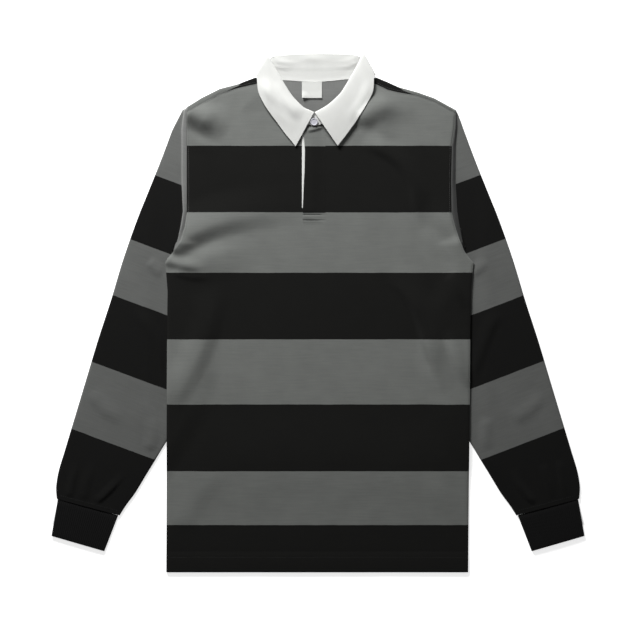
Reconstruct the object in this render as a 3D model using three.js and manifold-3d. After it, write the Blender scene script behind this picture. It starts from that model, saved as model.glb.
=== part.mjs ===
// A long-sleeved rugby shirt laid flat on its back, front up, in millimetres.
// +Y points to the collar, +X to the viewer's right and +Z up from the surface.
// The origin is on the surface, in the middle of the shirt's outline.
import * as THREE from "three";
import { mergeVertices } from "three/addons/utils/BufferGeometryUtils.js";
import Module from "manifold-3d";

const wasm = await Module();
wasm.setup();

// Driving sizes
const CLOTH = 1.6; // heavy jersey
const TWILL = 1.8; // collar cloth with its interlining
const SEAM_GAP = 0.3;
const HEM_Y = -401;
const HEM_DEPTH = 30;
const HEM_EXTRA = 0.8; // the turned-up layer makes the hem thicker
const SLEEVE_HEIGHT = 2 * CLOTH + 0.5;
// The fold at a shoulder: where the flat of the back ends, how far the wrap overlaps it
const WRAP = { flatEnd: 3.4, overlap: 9, steps: 4 };
const NECK_SPARE = 0.5; // the front lies this much looser on the back near the shoulders
const SLEEVE_SPARE = 0.75; // and the back on the sleeves
const COLLAR_SPARE = 0.5; // and on the collar behind it
const CENTRE_X = -1; // the body lies this far off the middle of the outline
const ARMHOLE_TOP = 311;
const ARMHOLE_BOTTOM = 78;

// The armhole seam and the fold of sleeve cloth beside it, from shoulder to underarm
const ARMHOLE = {
  left: [
    { y: 311, seam: -201.5, fold: -207.5 },
    { y: 286, seam: -202.3, fold: -210.8 },
    { y: 206, seam: -202.3, fold: -210.8 },
    { y: 158, seam: -202.3, fold: -208.5 },
    { y: 135, seam: -205.4, fold: -212.0 },
    { y: 113, seam: -211.6, fold: -217.0 },
    { y: 96, seam: -222.4, fold: -226.5 },
    { y: 84, seam: -232.5, fold: -235.0 },
    { y: 78, seam: -236.4, fold: -238.2 },
  ],
  right: [
    { y: 311, seam: 212.5, fold: 214.6 },
    { y: 286, seam: 210.8, fold: 215.4 },
    { y: 259, seam: 206.6, fold: 213.0 },
    { y: 206, seam: 205.4, fold: 212.4 },
    { y: 158, seam: 206.0, fold: 215.0 },
    { y: 135, seam: 211.6, fold: 218.6 },
    { y: 113, seam: 218.6, fold: 222.6 },
    { y: 96, seam: 225.5, fold: 229.0 },
    { y: 84, seam: 235.0, fold: 237.4 },
    { y: 78, seam: 240.5, fold: 242.2 },
  ],
};

// The body's side edges below the armholes
const SIDES = [
  { y: 78, left: -236.4, right: 240.5 },
  { y: 63, left: -234.8, right: 238.7 },
  { y: 35, left: -232.5, right: 236.6 },
  { y: -26, left: -233.3, right: 235.6 },
  { y: -197, left: -234.1, right: 234.1 },
  { y: HEM_Y, left: -234.8, right: 232.5 },
];

// Where the back wraps forward over each shoulder: the fold and the seam to the front
const SHOULDERS = {
  left: [
    { x: -201.5, fold: 320.5, seam: 311.2 },
    { x: -180, fold: 334.0, seam: 324.0 },
    { x: -152, fold: 348.0, seam: 339.8 },
    { x: -124, fold: 355.2, seam: 349.2 },
    { x: -98, fold: 364.8, seam: 354.8 },
    { x: -88, fold: 364.8, seam: 356.4 },
  ],
  right: [
    { x: 82, fold: 364.8, seam: 357.4 },
    { x: 91, fold: 364.8, seam: 354.6 },
    { x: 108, fold: 358.0, seam: 346.4 },
    { x: 124, fold: 350.8, seam: 342.6 },
    { x: 154, fold: 342.6, seam: 337.6 },
    { x: 180, fold: 333.4, seam: 328.6 },
    { x: 212.5, fold: 315.6, seam: 311.2 },
  ],
};

// The neck edge of the front panel, under the collar, and of the back panel
const FRONT_NECK = [
  { x: -88, y: 356 },
  { x: -72, y: 335 },
  { x: -55, y: 313 },
  { x: -32, y: 296 },
  { x: -6, y: 289 },
  { x: 22, y: 296 },
  { x: 45, y: 313 },
  { x: 64, y: 335 },
  { x: 82, y: 357 },
];
const BACK_NECK = [
  { x: -88, y: 362.0 },
  { x: -57, y: 360.7 },
  { x: -12, y: 357.6 },
  { x: 20, y: 359.0 },
  { x: 50, y: 362.2 },
  { x: 82, y: 363.0 },
];

// The left sleeve's sections from the armhole to the wrist, and how far each bows
const SLEEVE_SECTIONS = [
  { outerX: -226, outerY: 283.5, innerX: -228, innerY: 70, bow: 6 },
  { outerX: -243, outerY: 238, innerX: -229.4, innerY: 63.5, bow: 6 },
  { outerX: -262, outerY: 190.5, innerX: -228.6, innerY: 53.4, bow: 4 },
  { outerX: -280.6, outerY: 144, innerX: -221, innerY: 42, bow: 2 },
  { outerX: -302.3, outerY: 82, innerX: -206, innerY: 14, bow: 0 },
  { outerX: -320.9, outerY: 20, innerX: -193, innerY: -34, bow: 0 },
  { outerX: -341, outerY: -42, innerX: -192, innerY: -92, bow: 0 },
  { outerX: -359.6, outerY: -104, innerX: -213, innerY: -160, bow: 0 },
  { outerX: -378.2, outerY: -166, innerX: -243.5, innerY: -213, bow: 0 },
  { outerX: -392.2, outerY: -212.5, innerX: -266, innerY: -250, bow: 0 },
  { outerX: -401.5, outerY: -243.5, innerX: -283, innerY: -278, bow: 0 },
  { outerX: -405.6, outerY: -268, innerX: -297, innerY: -297, bow: 0 },
  { outerX: -404.8, outerY: -286.0, innerX: -306.6, innerY: -312.0, bow: 0 },
];
// Under the body's edge the sleeve runs straight down from the armhole instead
const TUCK = { top: 103, left: 220, right: 222, foldWidth: 3 };
const SLEEVE_FOLD_HEIGHT = 2.4; // how high the fold of cloth stands beside the armhole
const SLEEVE_PUFF = 1.4;
const EDGE_INSET = 0.02; // share of a sleeve's width that its edge wall takes up

// The left cuff: a flattened tube of rib knit
const CUFF = {
  top: { outerX: -402.8, outerY: -287.0, innerX: -309.4, innerY: -312.9 },
  end: { outerX: -412.8, outerY: -344.6, innerX: -330.9, innerY: -368.3 },
  wall: 2.0,
  ribs: 29,
  ribHeight: 0.5,
  ribParts: [0.08, 0.32, 0.68, 0.92], // corner places within a rib: groove, flank, flank, groove
  under: [0.985, 0.75, 0.5, 0.25, 0.015],
  inset: 0.022,
};

// Soft ridges of the front panel: the crest's course, its height and its reach to each side
const FRONT_FOLDS = [
  {
    name: "left underarm",
    height: 5.0,
    reach: 17,
    crest: [
      { x: -226, y: 104 },
      { x: -198, y: 124 },
      { x: -160, y: 142 },
      { x: -112, y: 156 },
      { x: -62, y: 162 },
    ],
  },
  {
    name: "left underarm, lower",
    height: 2.4,
    reach: 16,
    crest: [
      { x: -228, y: 84 },
      { x: -190, y: 92 },
      { x: -140, y: 104 },
    ],
  },
  {
    name: "left shoulder",
    height: 3.6,
    reach: 14,
    crest: [
      { x: -198, y: 290 },
      { x: -184, y: 272 },
      { x: -166, y: 262 },
    ],
  },
  {
    name: "left shoulder, upper",
    height: 2.4,
    reach: 16,
    crest: [
      { x: -184, y: 312 },
      { x: -168, y: 288 },
      { x: -140, y: 280 },
    ],
  },
  {
    name: "right of the collar",
    height: 2.4,
    reach: 20,
    crest: [
      { x: 92, y: 330 },
      { x: 104, y: 300 },
      { x: 112, y: 276 },
    ],
  },
  {
    name: "right chest",
    height: 2.6,
    reach: 16,
    crest: [
      { x: 76, y: 262 },
      { x: 104, y: 248 },
      { x: 128, y: 222 },
      { x: 146, y: 184 },
    ],
  },
  {
    name: "right underarm",
    height: 2.6,
    reach: 16,
    crest: [
      { x: 232, y: 96 },
      { x: 206, y: 112 },
      { x: 176, y: 124 },
    ],
  },
  {
    name: "left waist",
    height: 3.4,
    reach: 22,
    crest: [
      { x: -130, y: 54 },
      { x: -146, y: -2 },
      { x: -170, y: -66 },
      { x: -204, y: -128 },
    ],
  },
  {
    name: "right waist, inner",
    height: 3.4,
    reach: 20,
    crest: [
      { x: 112, y: 30 },
      { x: 142, y: -6 },
      { x: 164, y: -60 },
      { x: 196, y: -120 },
    ],
  },
  {
    name: "right waist, outer",
    height: 2.4,
    reach: 14,
    crest: [
      { x: 212, y: 30 },
      { x: 214, y: -44 },
      { x: 228, y: -104 },
    ],
  },
];

// The share of its course over which a ridge rises and dies away
const FOLD_FADE = { start: 0.2, end: 0.45 };

// The collar leaf: fold line and free edge, from the left front round the back to the right front
const LEAF_LEFT = [
  { foldX: -6.6, foldY: 309.5, foldZ: 11.0, edgeX: -34.7, edgeY: 258.4, edgeZ: 5.4 },
  { foldX: -14.0, foldY: 313.0, foldZ: 11.0, edgeX: -42.0, edgeY: 267.6, edgeZ: 5.6 },
  { foldX: -23.3, foldY: 317.6, foldZ: 11.0, edgeX: -50.0, edgeY: 277.3, edgeZ: 5.8 },
  { foldX: -38.8, foldY: 333.1, foldZ: 10.6, edgeX: -63.6, edgeY: 295.9, edgeZ: 6.2 },
  { foldX: -49.0, foldY: 348.0, foldZ: 10.2, edgeX: -75.0, edgeY: 311.0, edgeZ: 6.8 },
  { foldX: -58.9, foldY: 364.1, foldZ: 9.8, edgeX: -84.4, edgeY: 325.5, edgeZ: 7.6 },
  { foldX: -67.0, foldY: 378.0, foldZ: 9.4, edgeX: -92.4, edgeY: 344.0, edgeZ: 7.9 },
  { foldX: -75.2, foldY: 393.0, foldZ: 9.0, edgeX: -93.6, edgeY: 367.0, edgeZ: 7.8 },
];
const LEAF_BACK = [
  { foldX: -75.0, foldY: 393.6, foldZ: 4.4, edgeX: -93.0, edgeY: 367.0, edgeZ: 0.9 },
  { foldX: -66.0, foldY: 397.2, foldZ: 4.2, edgeX: -75.0, edgeY: 345.0, edgeZ: 0.9 },
  { foldX: -43.4, foldY: 399.3, foldZ: 4.2, edgeX: -48.0, edgeY: 342.0, edgeZ: 0.9 },
  { foldX: -20.0, foldY: 400.1, foldZ: 4.2, edgeX: -22.0, edgeY: 341.0, edgeZ: 0.9 },
  { foldX: 3.0, foldY: 400.4, foldZ: 4.2, edgeX: 3.0, edgeY: 341.0, edgeZ: 0.9 },
  { foldX: 24.0, foldY: 400.1, foldZ: 4.2, edgeX: 25.0, edgeY: 341.0, edgeZ: 0.9 },
  { foldX: 42.0, foldY: 399.7, foldZ: 4.2, edgeX: 45.0, edgeY: 342.0, edgeZ: 0.9 },
  { foldX: 58.0, foldY: 398.4, foldZ: 4.2, edgeX: 67.0, edgeY: 345.0, edgeZ: 0.9 },
  { foldX: 67.0, foldY: 395.0, foldZ: 4.4, edgeX: 84.6, edgeY: 367.0, edgeZ: 0.9 },
];
const LEAF_RIGHT = [
  { foldX: 67.2, foldY: 394.4, foldZ: 9.0, edgeX: 85.2, edgeY: 367.0, edgeZ: 7.8 },
  { foldX: 60.5, foldY: 381.0, foldZ: 9.4, edgeX: 85.0, edgeY: 344.0, edgeZ: 7.9 },
  { foldX: 52.7, foldY: 367.2, foldZ: 9.8, edgeX: 76.5, edgeY: 325.5, edgeZ: 7.6 },
  { foldX: 43.0, foldY: 351.0, foldZ: 10.2, edgeX: 67.0, edgeY: 309.5, edgeZ: 6.8 },
  { foldX: 34.1, foldY: 337.7, foldZ: 10.6, edgeX: 57.0, edgeY: 294.5, edgeZ: 6.2 },
  { foldX: 17.0, foldY: 322.0, foldZ: 11.0, edgeX: 44.0, edgeY: 276.5, edgeZ: 5.8 },
  { foldX: 5.0, foldY: 314.5, foldZ: 11.0, edgeX: 37.0, edgeY: 267.6, edgeZ: 5.6 },
  { foldX: -4.6, foldY: 309.5, foldZ: 11.0, edgeX: 30.4, edgeY: 259.0, edgeZ: 5.4 },
];
const LEAF_ACROSS = [0, 0.05, 0.14, 0.34, 0.56, 0.78, 1];
const LEAF_FALL_FRONT = [1, 0.99, 0.95, 0.78, 0.52, 0.25, 0]; // height left along a wing
const LEAF_FALL_BACK = [1, 0.1, 0, 0, 0, 0, 0]; // behind, it drops straight to the surface

// The collar stand: top edge under the leaf, lower edge at the neck seam
const STAND_LEFT = [
  { foldX: -6.6, foldY: 305.6, foldZ: 8.3, edgeX: -6.6, edgeY: 289.5, edgeZ: 6.2 },
  { foldX: -16.0, foldY: 309.0, foldZ: 8.4, edgeX: -19.5, edgeY: 293.4, edgeZ: 6.2 },
  { foldX: -27.0, foldY: 316.0, foldZ: 8.4, edgeX: -32.0, edgeY: 298.2, edgeZ: 3.8 },
  { foldX: -42.0, foldY: 330.5, foldZ: 8.0, edgeX: -54.5, edgeY: 315.2, edgeZ: 3.8 },
  { foldX: -52.5, foldY: 346.0, foldZ: 7.6, edgeX: -71.5, edgeY: 337.0, edgeZ: 5.3 },
  { foldX: -62.0, foldY: 361.0, foldZ: 7.2, edgeX: -80.5, edgeY: 349.2, edgeZ: 5.4 },
  { foldX: -69.0, foldY: 374.0, foldZ: 6.8, edgeX: -86.0, edgeY: 359.2, edgeZ: 5.4 },
  { foldX: -74.0, foldY: 384.0, foldZ: 6.2, edgeX: -85.6, edgeY: 366.0, edgeZ: 5.0 },
];
const STAND_BACK = [
  { foldX: -73.6, foldY: 385.0, foldZ: 3.6, edgeX: -84.0, edgeY: 366.4, edgeZ: 3.3 },
  { foldX: -65.0, foldY: 391.6, foldZ: 3.6, edgeX: -72.0, edgeY: 362.0, edgeZ: 3.2 },
  { foldX: -43.4, foldY: 394.6, foldZ: 3.8, edgeX: -48.0, edgeY: 360.6, edgeZ: 3.2 },
  { foldX: -20.0, foldY: 396.0, foldZ: 3.8, edgeX: -22.0, edgeY: 358.8, edgeZ: 3.2 },
  { foldX: 3.0, foldY: 396.4, foldZ: 3.8, edgeX: 3.0, edgeY: 358.7, edgeZ: 3.2 },
  { foldX: 24.0, foldY: 396.0, foldZ: 3.8, edgeX: 25.0, edgeY: 360.1, edgeZ: 3.2 },
  { foldX: 42.0, foldY: 395.0, foldZ: 3.8, edgeX: 45.0, edgeY: 362.3, edgeZ: 3.2 },
  { foldX: 57.0, foldY: 393.0, foldZ: 3.6, edgeX: 66.0, edgeY: 363.2, edgeZ: 3.2 },
  { foldX: 65.6, foldY: 386.4, foldZ: 3.6, edgeX: 76.0, edgeY: 366.8, edgeZ: 3.3 },
];
const STAND_RIGHT = [
  { foldX: 66.0, foldY: 385.6, foldZ: 6.2, edgeX: 77.6, edgeY: 366.4, edgeZ: 5.0 },
  { foldX: 62.6, foldY: 377.0, foldZ: 6.8, edgeX: 79.0, edgeY: 359.6, edgeZ: 5.4 },
  { foldX: 55.6, foldY: 364.0, foldZ: 7.2, edgeX: 72.6, edgeY: 349.2, edgeZ: 5.4 },
  { foldX: 46.0, foldY: 348.6, foldZ: 7.6, edgeX: 63.0, edgeY: 337.0, edgeZ: 5.3 },
  { foldX: 37.0, foldY: 334.6, foldZ: 8.0, edgeX: 44.0, edgeY: 315.2, edgeZ: 3.8 },
  { foldX: 20.0, foldY: 318.6, foldZ: 8.4, edgeX: 22.0, edgeY: 299.0, edgeZ: 3.8 },
  { foldX: 5.0, foldY: 310.0, foldZ: 8.4, edgeX: 8.5, edgeY: 293.6, edgeZ: 6.2 },
  { foldX: -5.2, foldY: 305.6, foldZ: 8.3, edgeX: -5.2, edgeY: 289.5, edgeZ: 6.2 },
];
const STAND_ACROSS = [0, 0.5, 1];
const STAND_FALL = [1, 0.55, 0];
const COLLAR_ROLL_STEPS = 4;

// The placket: a fly strip over a narrow facing that shows at its left edge
const FLY = {
  rightX: 11.6,
  thickness: 1.4,
  levels: [288.8, 276, 252, 221, 206, 183, 163, 151, 146, 137.8],
  leftEdge: [
    { y: 288.8, x: -22.0 },
    { y: 276, x: -22.0 },
    { y: 252, x: -20.2 },
    { y: 221, x: -20.8 },
    { y: 206, x: -21.7 },
    { y: 183, x: -22.6 },
    { y: 162, x: -23.6 },
    { y: 137.8, x: -24.0 },
  ],
};
const FACING = {
  bottom: 163,
  leftX: -24.8,
  rightX: 6,
  thickness: 1.0,
  levels: [288, 262, 236, 210, 186, 163],
};
const STRIP_PARTS = [0, 0.33, 0.66, 1]; // corner places across a placket strip
const LABEL = {
  leftX: -24.8,
  rightX: 6.2,
  topY: 356.8,
  bottomY: 333.2,
  thickness: 1.0,
  gap: 0.5,
  curl: 1.6,
  curlReach: 14,
  down: [0, 0.25, 0.5, 0.75, 0.9, 1],
  across: [0, 0.1, 0.25, 0.5, 0.75, 1],
};
const BUTTON = { x: -6.0, y: 296.0, z: 8.4, tilt: 0.13, radius: 5.7, thickness: 2.4 };

// The rows and columns of the body panels, closer together where the cloth is shaped
const LEVELS = [
  311, 300, 288, 274, 260, 245, 228, 210, 192, 174, 158, 144, 130, 113, 104, 93, 82, 70,
  54, 34, 8, -20, -50, -84, -124, -170, -216, -260, -320, -368, -372, -401,
];
const COLUMNS = [
  -1, -0.97, -0.91, -0.84, -0.75, -0.65, -0.54, -0.434, -0.35, -0.26, -0.16, -0.06, 0.03,
  0.12, 0.21, 0.3, 0.39, 0.5, 0.61, 0.72, 0.82, 0.9, 0.96, 1,
];
const LEVEL_ROWS_ABOVE = 205; // rows above this height follow the neck and shoulder edge

// Helpers

function clamp01(t) {
  return Math.min(1, Math.max(0, t));
}

function ease(t) {
  const c = clamp01(t);
  return c * c * (3 - 2 * c);
}

function mix(a, b, t) {
  return a + (b - a) * t;
}

// The value of one column of a table at a place between its rows.
function lookUp(rows, key, at, column) {
  const rising = rows[rows.length - 1][key] > rows[0][key];
  const ordered = rising ? rows : [...rows].reverse();
  if (at <= ordered[0][key]) return ordered[0][column];
  for (let i = 1; i < ordered.length; i++) {
    const a = ordered[i - 1];
    const b = ordered[i];
    if (at <= b[key]) return mix(a[column], b[column], (at - a[key]) / (b[key] - a[key]));
  }
  return ordered[ordered.length - 1][column];
}

// A closed mesh from corner points and triangles, turned outward if it came out inside out.
function solidGeometry(points, triangles) {
  const geometry = new THREE.BufferGeometry();
  geometry.setAttribute("position", new THREE.Float32BufferAttribute(points.flat(), 3));
  let volume = 0;
  for (const [a, b, c] of triangles) {
    const [p, q, r] = [a, b, c].map((i) => new THREE.Vector3(...points[i]));
    volume += p.dot(q.cross(r));
  }
  const faces = volume < 0 ? triangles.map(([a, b, c]) => [a, c, b]) : triangles;
  geometry.setIndex(faces.flat());
  return geometry;
}

// How far a triangle is from a sliver: its height over its longest side.
function fullness(points, triangle) {
  const [p, q, r] = triangle.map((i) => new THREE.Vector3(...points[i]));
  const longest = Math.max(p.distanceTo(q), q.distanceTo(r), r.distanceTo(p));
  return q.sub(p).cross(r.sub(p)).length() / longest ** 2;
}

// A four-sided face cut along the diagonal that leaves the fuller triangles.
function fullerCut(points, [a, b, c, d]) {
  const cuts = [[[a, b, c], [a, c, d]], [[a, b, d], [b, c, d]]];
  const [first, second] = cuts.map((cut) => Math.min(...cut.map((t) => fullness(points, t))));
  return first >= second ? cuts[0] : cuts[1];
}

// Two triangles for each cell between two rows of corner numbers.
function stripFaces(rowA, rowB, flip, closed, points) {
  const faces = [];
  const cells = closed ? rowA.length : rowA.length - 1;
  for (let i = 0; i < cells; i++) {
    const j = (i + 1) % rowA.length;
    const quad = flip
      ? [rowA[i], rowB[i], rowB[j], rowA[j]]
      : [rowA[i], rowA[j], rowB[j], rowB[i]];
    if (points) faces.push(...fullerCut(points, quad));
    else faces.push([quad[0], quad[1], quad[2]], [quad[0], quad[2], quad[3]]);
  }
  return faces;
}

// A wall of cloth between an upper and a lower grid of points.
function wall(upper, lower) {
  const rows = upper.length;
  const columns = upper[0].length;
  const points = [...upper.flat(), ...lower.flat()];
  const up = (i, j) => i * columns + j;
  const down = (i, j) => rows * columns + i * columns + j;
  const line = (count, at) => Array.from({ length: count }, (_, k) => at(k));
  const faces = [];
  for (let i = 0; i + 1 < rows; i++) {
    const near = line(columns, (j) => up(i, j));
    const far = line(columns, (j) => up(i + 1, j));
    faces.push(...stripFaces(near, far, false, false));
    const nearBelow = line(columns, (j) => down(i, j));
    const farBelow = line(columns, (j) => down(i + 1, j));
    faces.push(...stripFaces(nearBelow, farBelow, true, false));
  }
  const edges = [
    [line(columns, (j) => down(0, j)), line(columns, (j) => up(0, j))],
    [line(columns, (j) => up(rows - 1, j)), line(columns, (j) => down(rows - 1, j))],
    [line(rows, (i) => up(i, 0)), line(rows, (i) => down(i, 0))],
    [line(rows, (i) => down(i, columns - 1)), line(rows, (i) => up(i, columns - 1))],
  ];
  for (const [a, b] of edges) faces.push(...stripFaces(a, b, false, false));
  return solidGeometry(points, faces);
}

// A wall of cloth on both sides of a grid of middle points.
function cloth(middle, halfThicknessAt) {
  const vector = (i, j) => new THREE.Vector3(...middle[i][j]);
  const rows = middle.length;
  const columns = middle[0].length;
  const upper = [];
  const lower = [];
  for (let i = 0; i < rows; i++) {
    upper.push([]);
    lower.push([]);
    for (let j = 0; j < columns; j++) {
      const along = vector(Math.min(i + 1, rows - 1), j).sub(vector(Math.max(i - 1, 0), j));
      const across = vector(i, Math.min(j + 1, columns - 1)).sub(vector(i, Math.max(j - 1, 0)));
      const normal = along.cross(across).normalize().multiplyScalar(halfThicknessAt(i, j));
      upper[i].push(vector(i, j).add(normal).toArray());
      lower[i].push(vector(i, j).sub(normal).toArray());
    }
  }
  return wall(upper, lower);
}

// A tube open at both ends, from rings that each have an outer and an inner loop.
function tube(rings) {
  const count = rings[0].outer.length;
  const points = rings.flatMap((ring) => [...ring.outer, ...ring.inner]);
  const loop = (k, inner) =>
    Array.from({ length: count }, (_, i) => k * 2 * count + (inner ? count : 0) + i);
  const faces = [];
  for (let k = 0; k + 1 < rings.length; k++) {
    faces.push(...stripFaces(loop(k, false), loop(k + 1, false), false, true, points));
    faces.push(...stripFaces(loop(k, true), loop(k + 1, true), true, true, points));
  }
  faces.push(...stripFaces(loop(0, false), loop(0, true), true, true));
  const last = rings.length - 1;
  faces.push(...stripFaces(loop(last, false), loop(last, true), false, true));
  return solidGeometry(points, faces);
}

function toManifold(geometry) {
  const bare = geometry.clone();
  bare.deleteAttribute("normal");
  const merged = mergeVertices(bare, 1e-4);
  return new wasm.Manifold(
    new wasm.Mesh({
      numProp: 3,
      vertProperties: merged.attributes.position.array,
      triVerts: new Uint32Array(merged.index.array),
    }),
  );
}

function join(geometries) {
  const solid = geometries.map(toManifold).reduce((a, b) => a.add(b));
  const mesh = solid.getMesh();
  const geometry = new THREE.BufferGeometry();
  geometry.setAttribute("position", new THREE.Float32BufferAttribute(mesh.vertProperties, 3));
  geometry.setIndex([...mesh.triVerts]);
  return geometry;
}

// How the body lies

// How far from the middle the hidden inner edge of a sleeve runs at a height y.
function sleeveReach(y) {
  const edge = SLEEVE_SECTIONS.map((row) => ({ y: row.innerY, reach: -row.innerX }));
  const start = { y: TUCK.top + 4, reach: TUCK.left + 5 };
  const above = Math.max(0, y - start.y) * 2;
  return lookUp([start, ...edge], "y", y, "reach") + above;
}

// The height of the body's underside: over the sleeves and over the back of the collar.
function lift(x, y) {
  const overSleeve = ease(1 - (sleeveReach(y) - 6 - Math.abs(x)) / 40);
  const beyondCollar = Math.max(Math.abs(x + 4) - 90, 340 - y, 0);
  const overCollar = ease(1 - beyondCollar / 36);
  return overSleeve * (SLEEVE_HEIGHT + SLEEVE_SPARE) + overCollar * (TWILL + COLLAR_SPARE);
}

function foldHeight(fold, x, y) {
  let best = 0;
  for (let i = 1; i < fold.crest.length; i++) {
    const a = fold.crest[i - 1];
    const b = fold.crest[i];
    const length2 = (b.x - a.x) ** 2 + (b.y - a.y) ** 2;
    const t = clamp01(((x - a.x) * (b.x - a.x) + (y - a.y) * (b.y - a.y)) / length2);
    const away = Math.hypot(x - mix(a.x, b.x, t), y - mix(a.y, b.y, t));
    const along = (i - 1 + t) / (fold.crest.length - 1);
    const fade = ease(along / FOLD_FADE.start) * ease((1 - along) / FOLD_FADE.end);
    best = Math.max(best, fold.height * fade * ease(1 - away / fold.reach));
  }
  return best;
}

// The height of the front panel's underside.
function frontBase(x, y) {
  const spare = NECK_SPARE * ease((y - 180) / 60);
  const folds = FRONT_FOLDS.map((fold) => foldHeight(fold, x, y));
  return lift(x, y) + CLOTH + SEAM_GAP + spare + Math.max(...folds);
}

function frontTop(x, y) {
  return frontBase(x, y) + CLOTH;
}

function bodyEdge(side, y) {
  if (y >= ARMHOLE_BOTTOM) return lookUp(ARMHOLE[side], "y", y, "seam");
  return lookUp(SIDES, "y", y, side);
}

function hemExtra(y) {
  return y < HEM_Y + HEM_DEPTH ? HEM_EXTRA : 0;
}

// A body panel: the same rows and columns for front and back, each with its own top edge.
function bodyPanel(topEdge, baseAt) {
  const lower = [];
  const upper = [];
  for (const level of LEVELS) {
    const baseRow = [];
    const topRow = [];
    for (const u of COLUMNS) {
      const side = u < 0 ? "left" : "right";
      const reachTop = Math.abs(bodyEdge(side, ARMHOLE_TOP) - CENTRE_X);
      const rise = topEdge(CENTRE_X + u * reachTop) - ARMHOLE_TOP;
      const y = level + rise * ease((level - LEVEL_ROWS_ABOVE) / (ARMHOLE_TOP - LEVEL_ROWS_ABOVE));
      const x = CENTRE_X + u * Math.abs(bodyEdge(side, y) - CENTRE_X);
      const z = baseAt(x, y);
      baseRow.push([x, y, z]);
      topRow.push([x, y, z + CLOTH + hemExtra(y)]);
    }
    lower.push(baseRow);
    upper.push(topRow);
  }
  return wall(upper, lower);
}

// Which shoulder a place along the top edge belongs to, if it isn't at the neck.
function shoulderAt(x, neck) {
  if (x < neck[0].x) return "left";
  return x > neck[neck.length - 1].x ? "right" : null;
}

function frontPanel() {
  const topEdge = (x) => {
    const side = shoulderAt(x, FRONT_NECK);
    if (side) return lookUp(SHOULDERS[side], "x", x, "seam") - 2 * SEAM_GAP;
    return lookUp(FRONT_NECK, "x", x, "y");
  };
  return bodyPanel(topEdge, (x, y) => frontBase(x, y) + hemExtra(y));
}

// Where each column of a body panel meets its top edge.
function topPlaces() {
  return COLUMNS.map((u) => {
    const side = u < 0 ? "left" : "right";
    return CENTRE_X + u * Math.abs(bodyEdge(side, ARMHOLE_TOP) - CENTRE_X);
  });
}

// One shoulder of the back panel: up round the fold and forward to the seam.
function shoulderWrap(side) {
  const low = CLOTH / 2;
  const high = CLOTH * 1.5 + SEAM_GAP + NECK_SPARE;
  const radius = (high - low) / 2;
  const rows = SHOULDERS[side];
  const [first, last] = [rows[0].x - 0.01, rows[rows.length - 1].x + 0.01];
  const stations = topPlaces().filter((x) => x >= first && x <= last);
  const middle = stations.map((x) => {
    const fold = lookUp(rows, "x", x, "fold");
    const seam = lookUp(rows, "x", x, "seam");
    const centreY = fold - radius - CLOTH / 2;
    const base = lift(x, centreY);
    const row = [[x, centreY - WRAP.overlap, base + low]];
    for (let k = 0; k <= WRAP.steps; k++) {
      const angle = -Math.PI / 2 + (Math.PI * k) / WRAP.steps;
      row.push([
        x,
        centreY + radius * Math.cos(angle),
        base + (low + high) / 2 + radius * Math.sin(angle),
      ]);
    }
    row.push([x, Math.min(seam, centreY - 0.4), base + high]);
    return row;
  });
  return cloth(middle, (i, j) => (j === 0 ? CLOTH * 0.3 : CLOTH / 2));
}

function backPanel() {
  const topEdge = (x) => {
    const side = shoulderAt(x, BACK_NECK);
    if (side) return lookUp(SHOULDERS[side], "x", x, "fold") - WRAP.flatEnd;
    return lookUp(BACK_NECK, "x", x, "y") - SEAM_GAP;
  };
  return join([bodyPanel(topEdge, lift), shoulderWrap("left"), shoulderWrap("right")]);
}

// Sleeves and cuffs

// One ring of a flattened tube: stations run from the outer edge to the inner edge.
// The inner loop leaves a slit between the two layers and keeps inset from each edge.
function flatRing(at, stations, bottomStations, heightAt, wallThickness, inset) {
  const half = Math.min(heightAt(stations[0]), heightAt(stations[stations.length - 1])) / 2;
  const squeeze = (u) => mix(inset, 1 - inset, u);
  const outer = [
    [...at(0), half],
    ...stations.map((u) => [...at(u), heightAt(u)]),
    [...at(1), half],
    ...bottomStations.map((u) => [...at(u), 0]),
  ];
  const inner = [
    [...at(inset), half],
    ...stations.map((u) => [...at(squeeze(u)), heightAt(u) - wallThickness]),
    [...at(1 - inset), half],
    ...bottomStations.map((u) => [...at(squeeze(u)), wallThickness]),
  ];
  return { outer, inner };
}

// Shares of the way across a sleeve, on its upper side and back along its lower side
const SLEEVE_STATIONS = [0.012, 0.1, 0.22, 0.36, 0.5, 0.66, 0.76, 0.85, 0.885, 0.93, 0.988];
const SLEEVE_BOTTOM_STATIONS = [0.98, 0.885, 0.76, 0.66, 0.36, 0.02];

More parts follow.
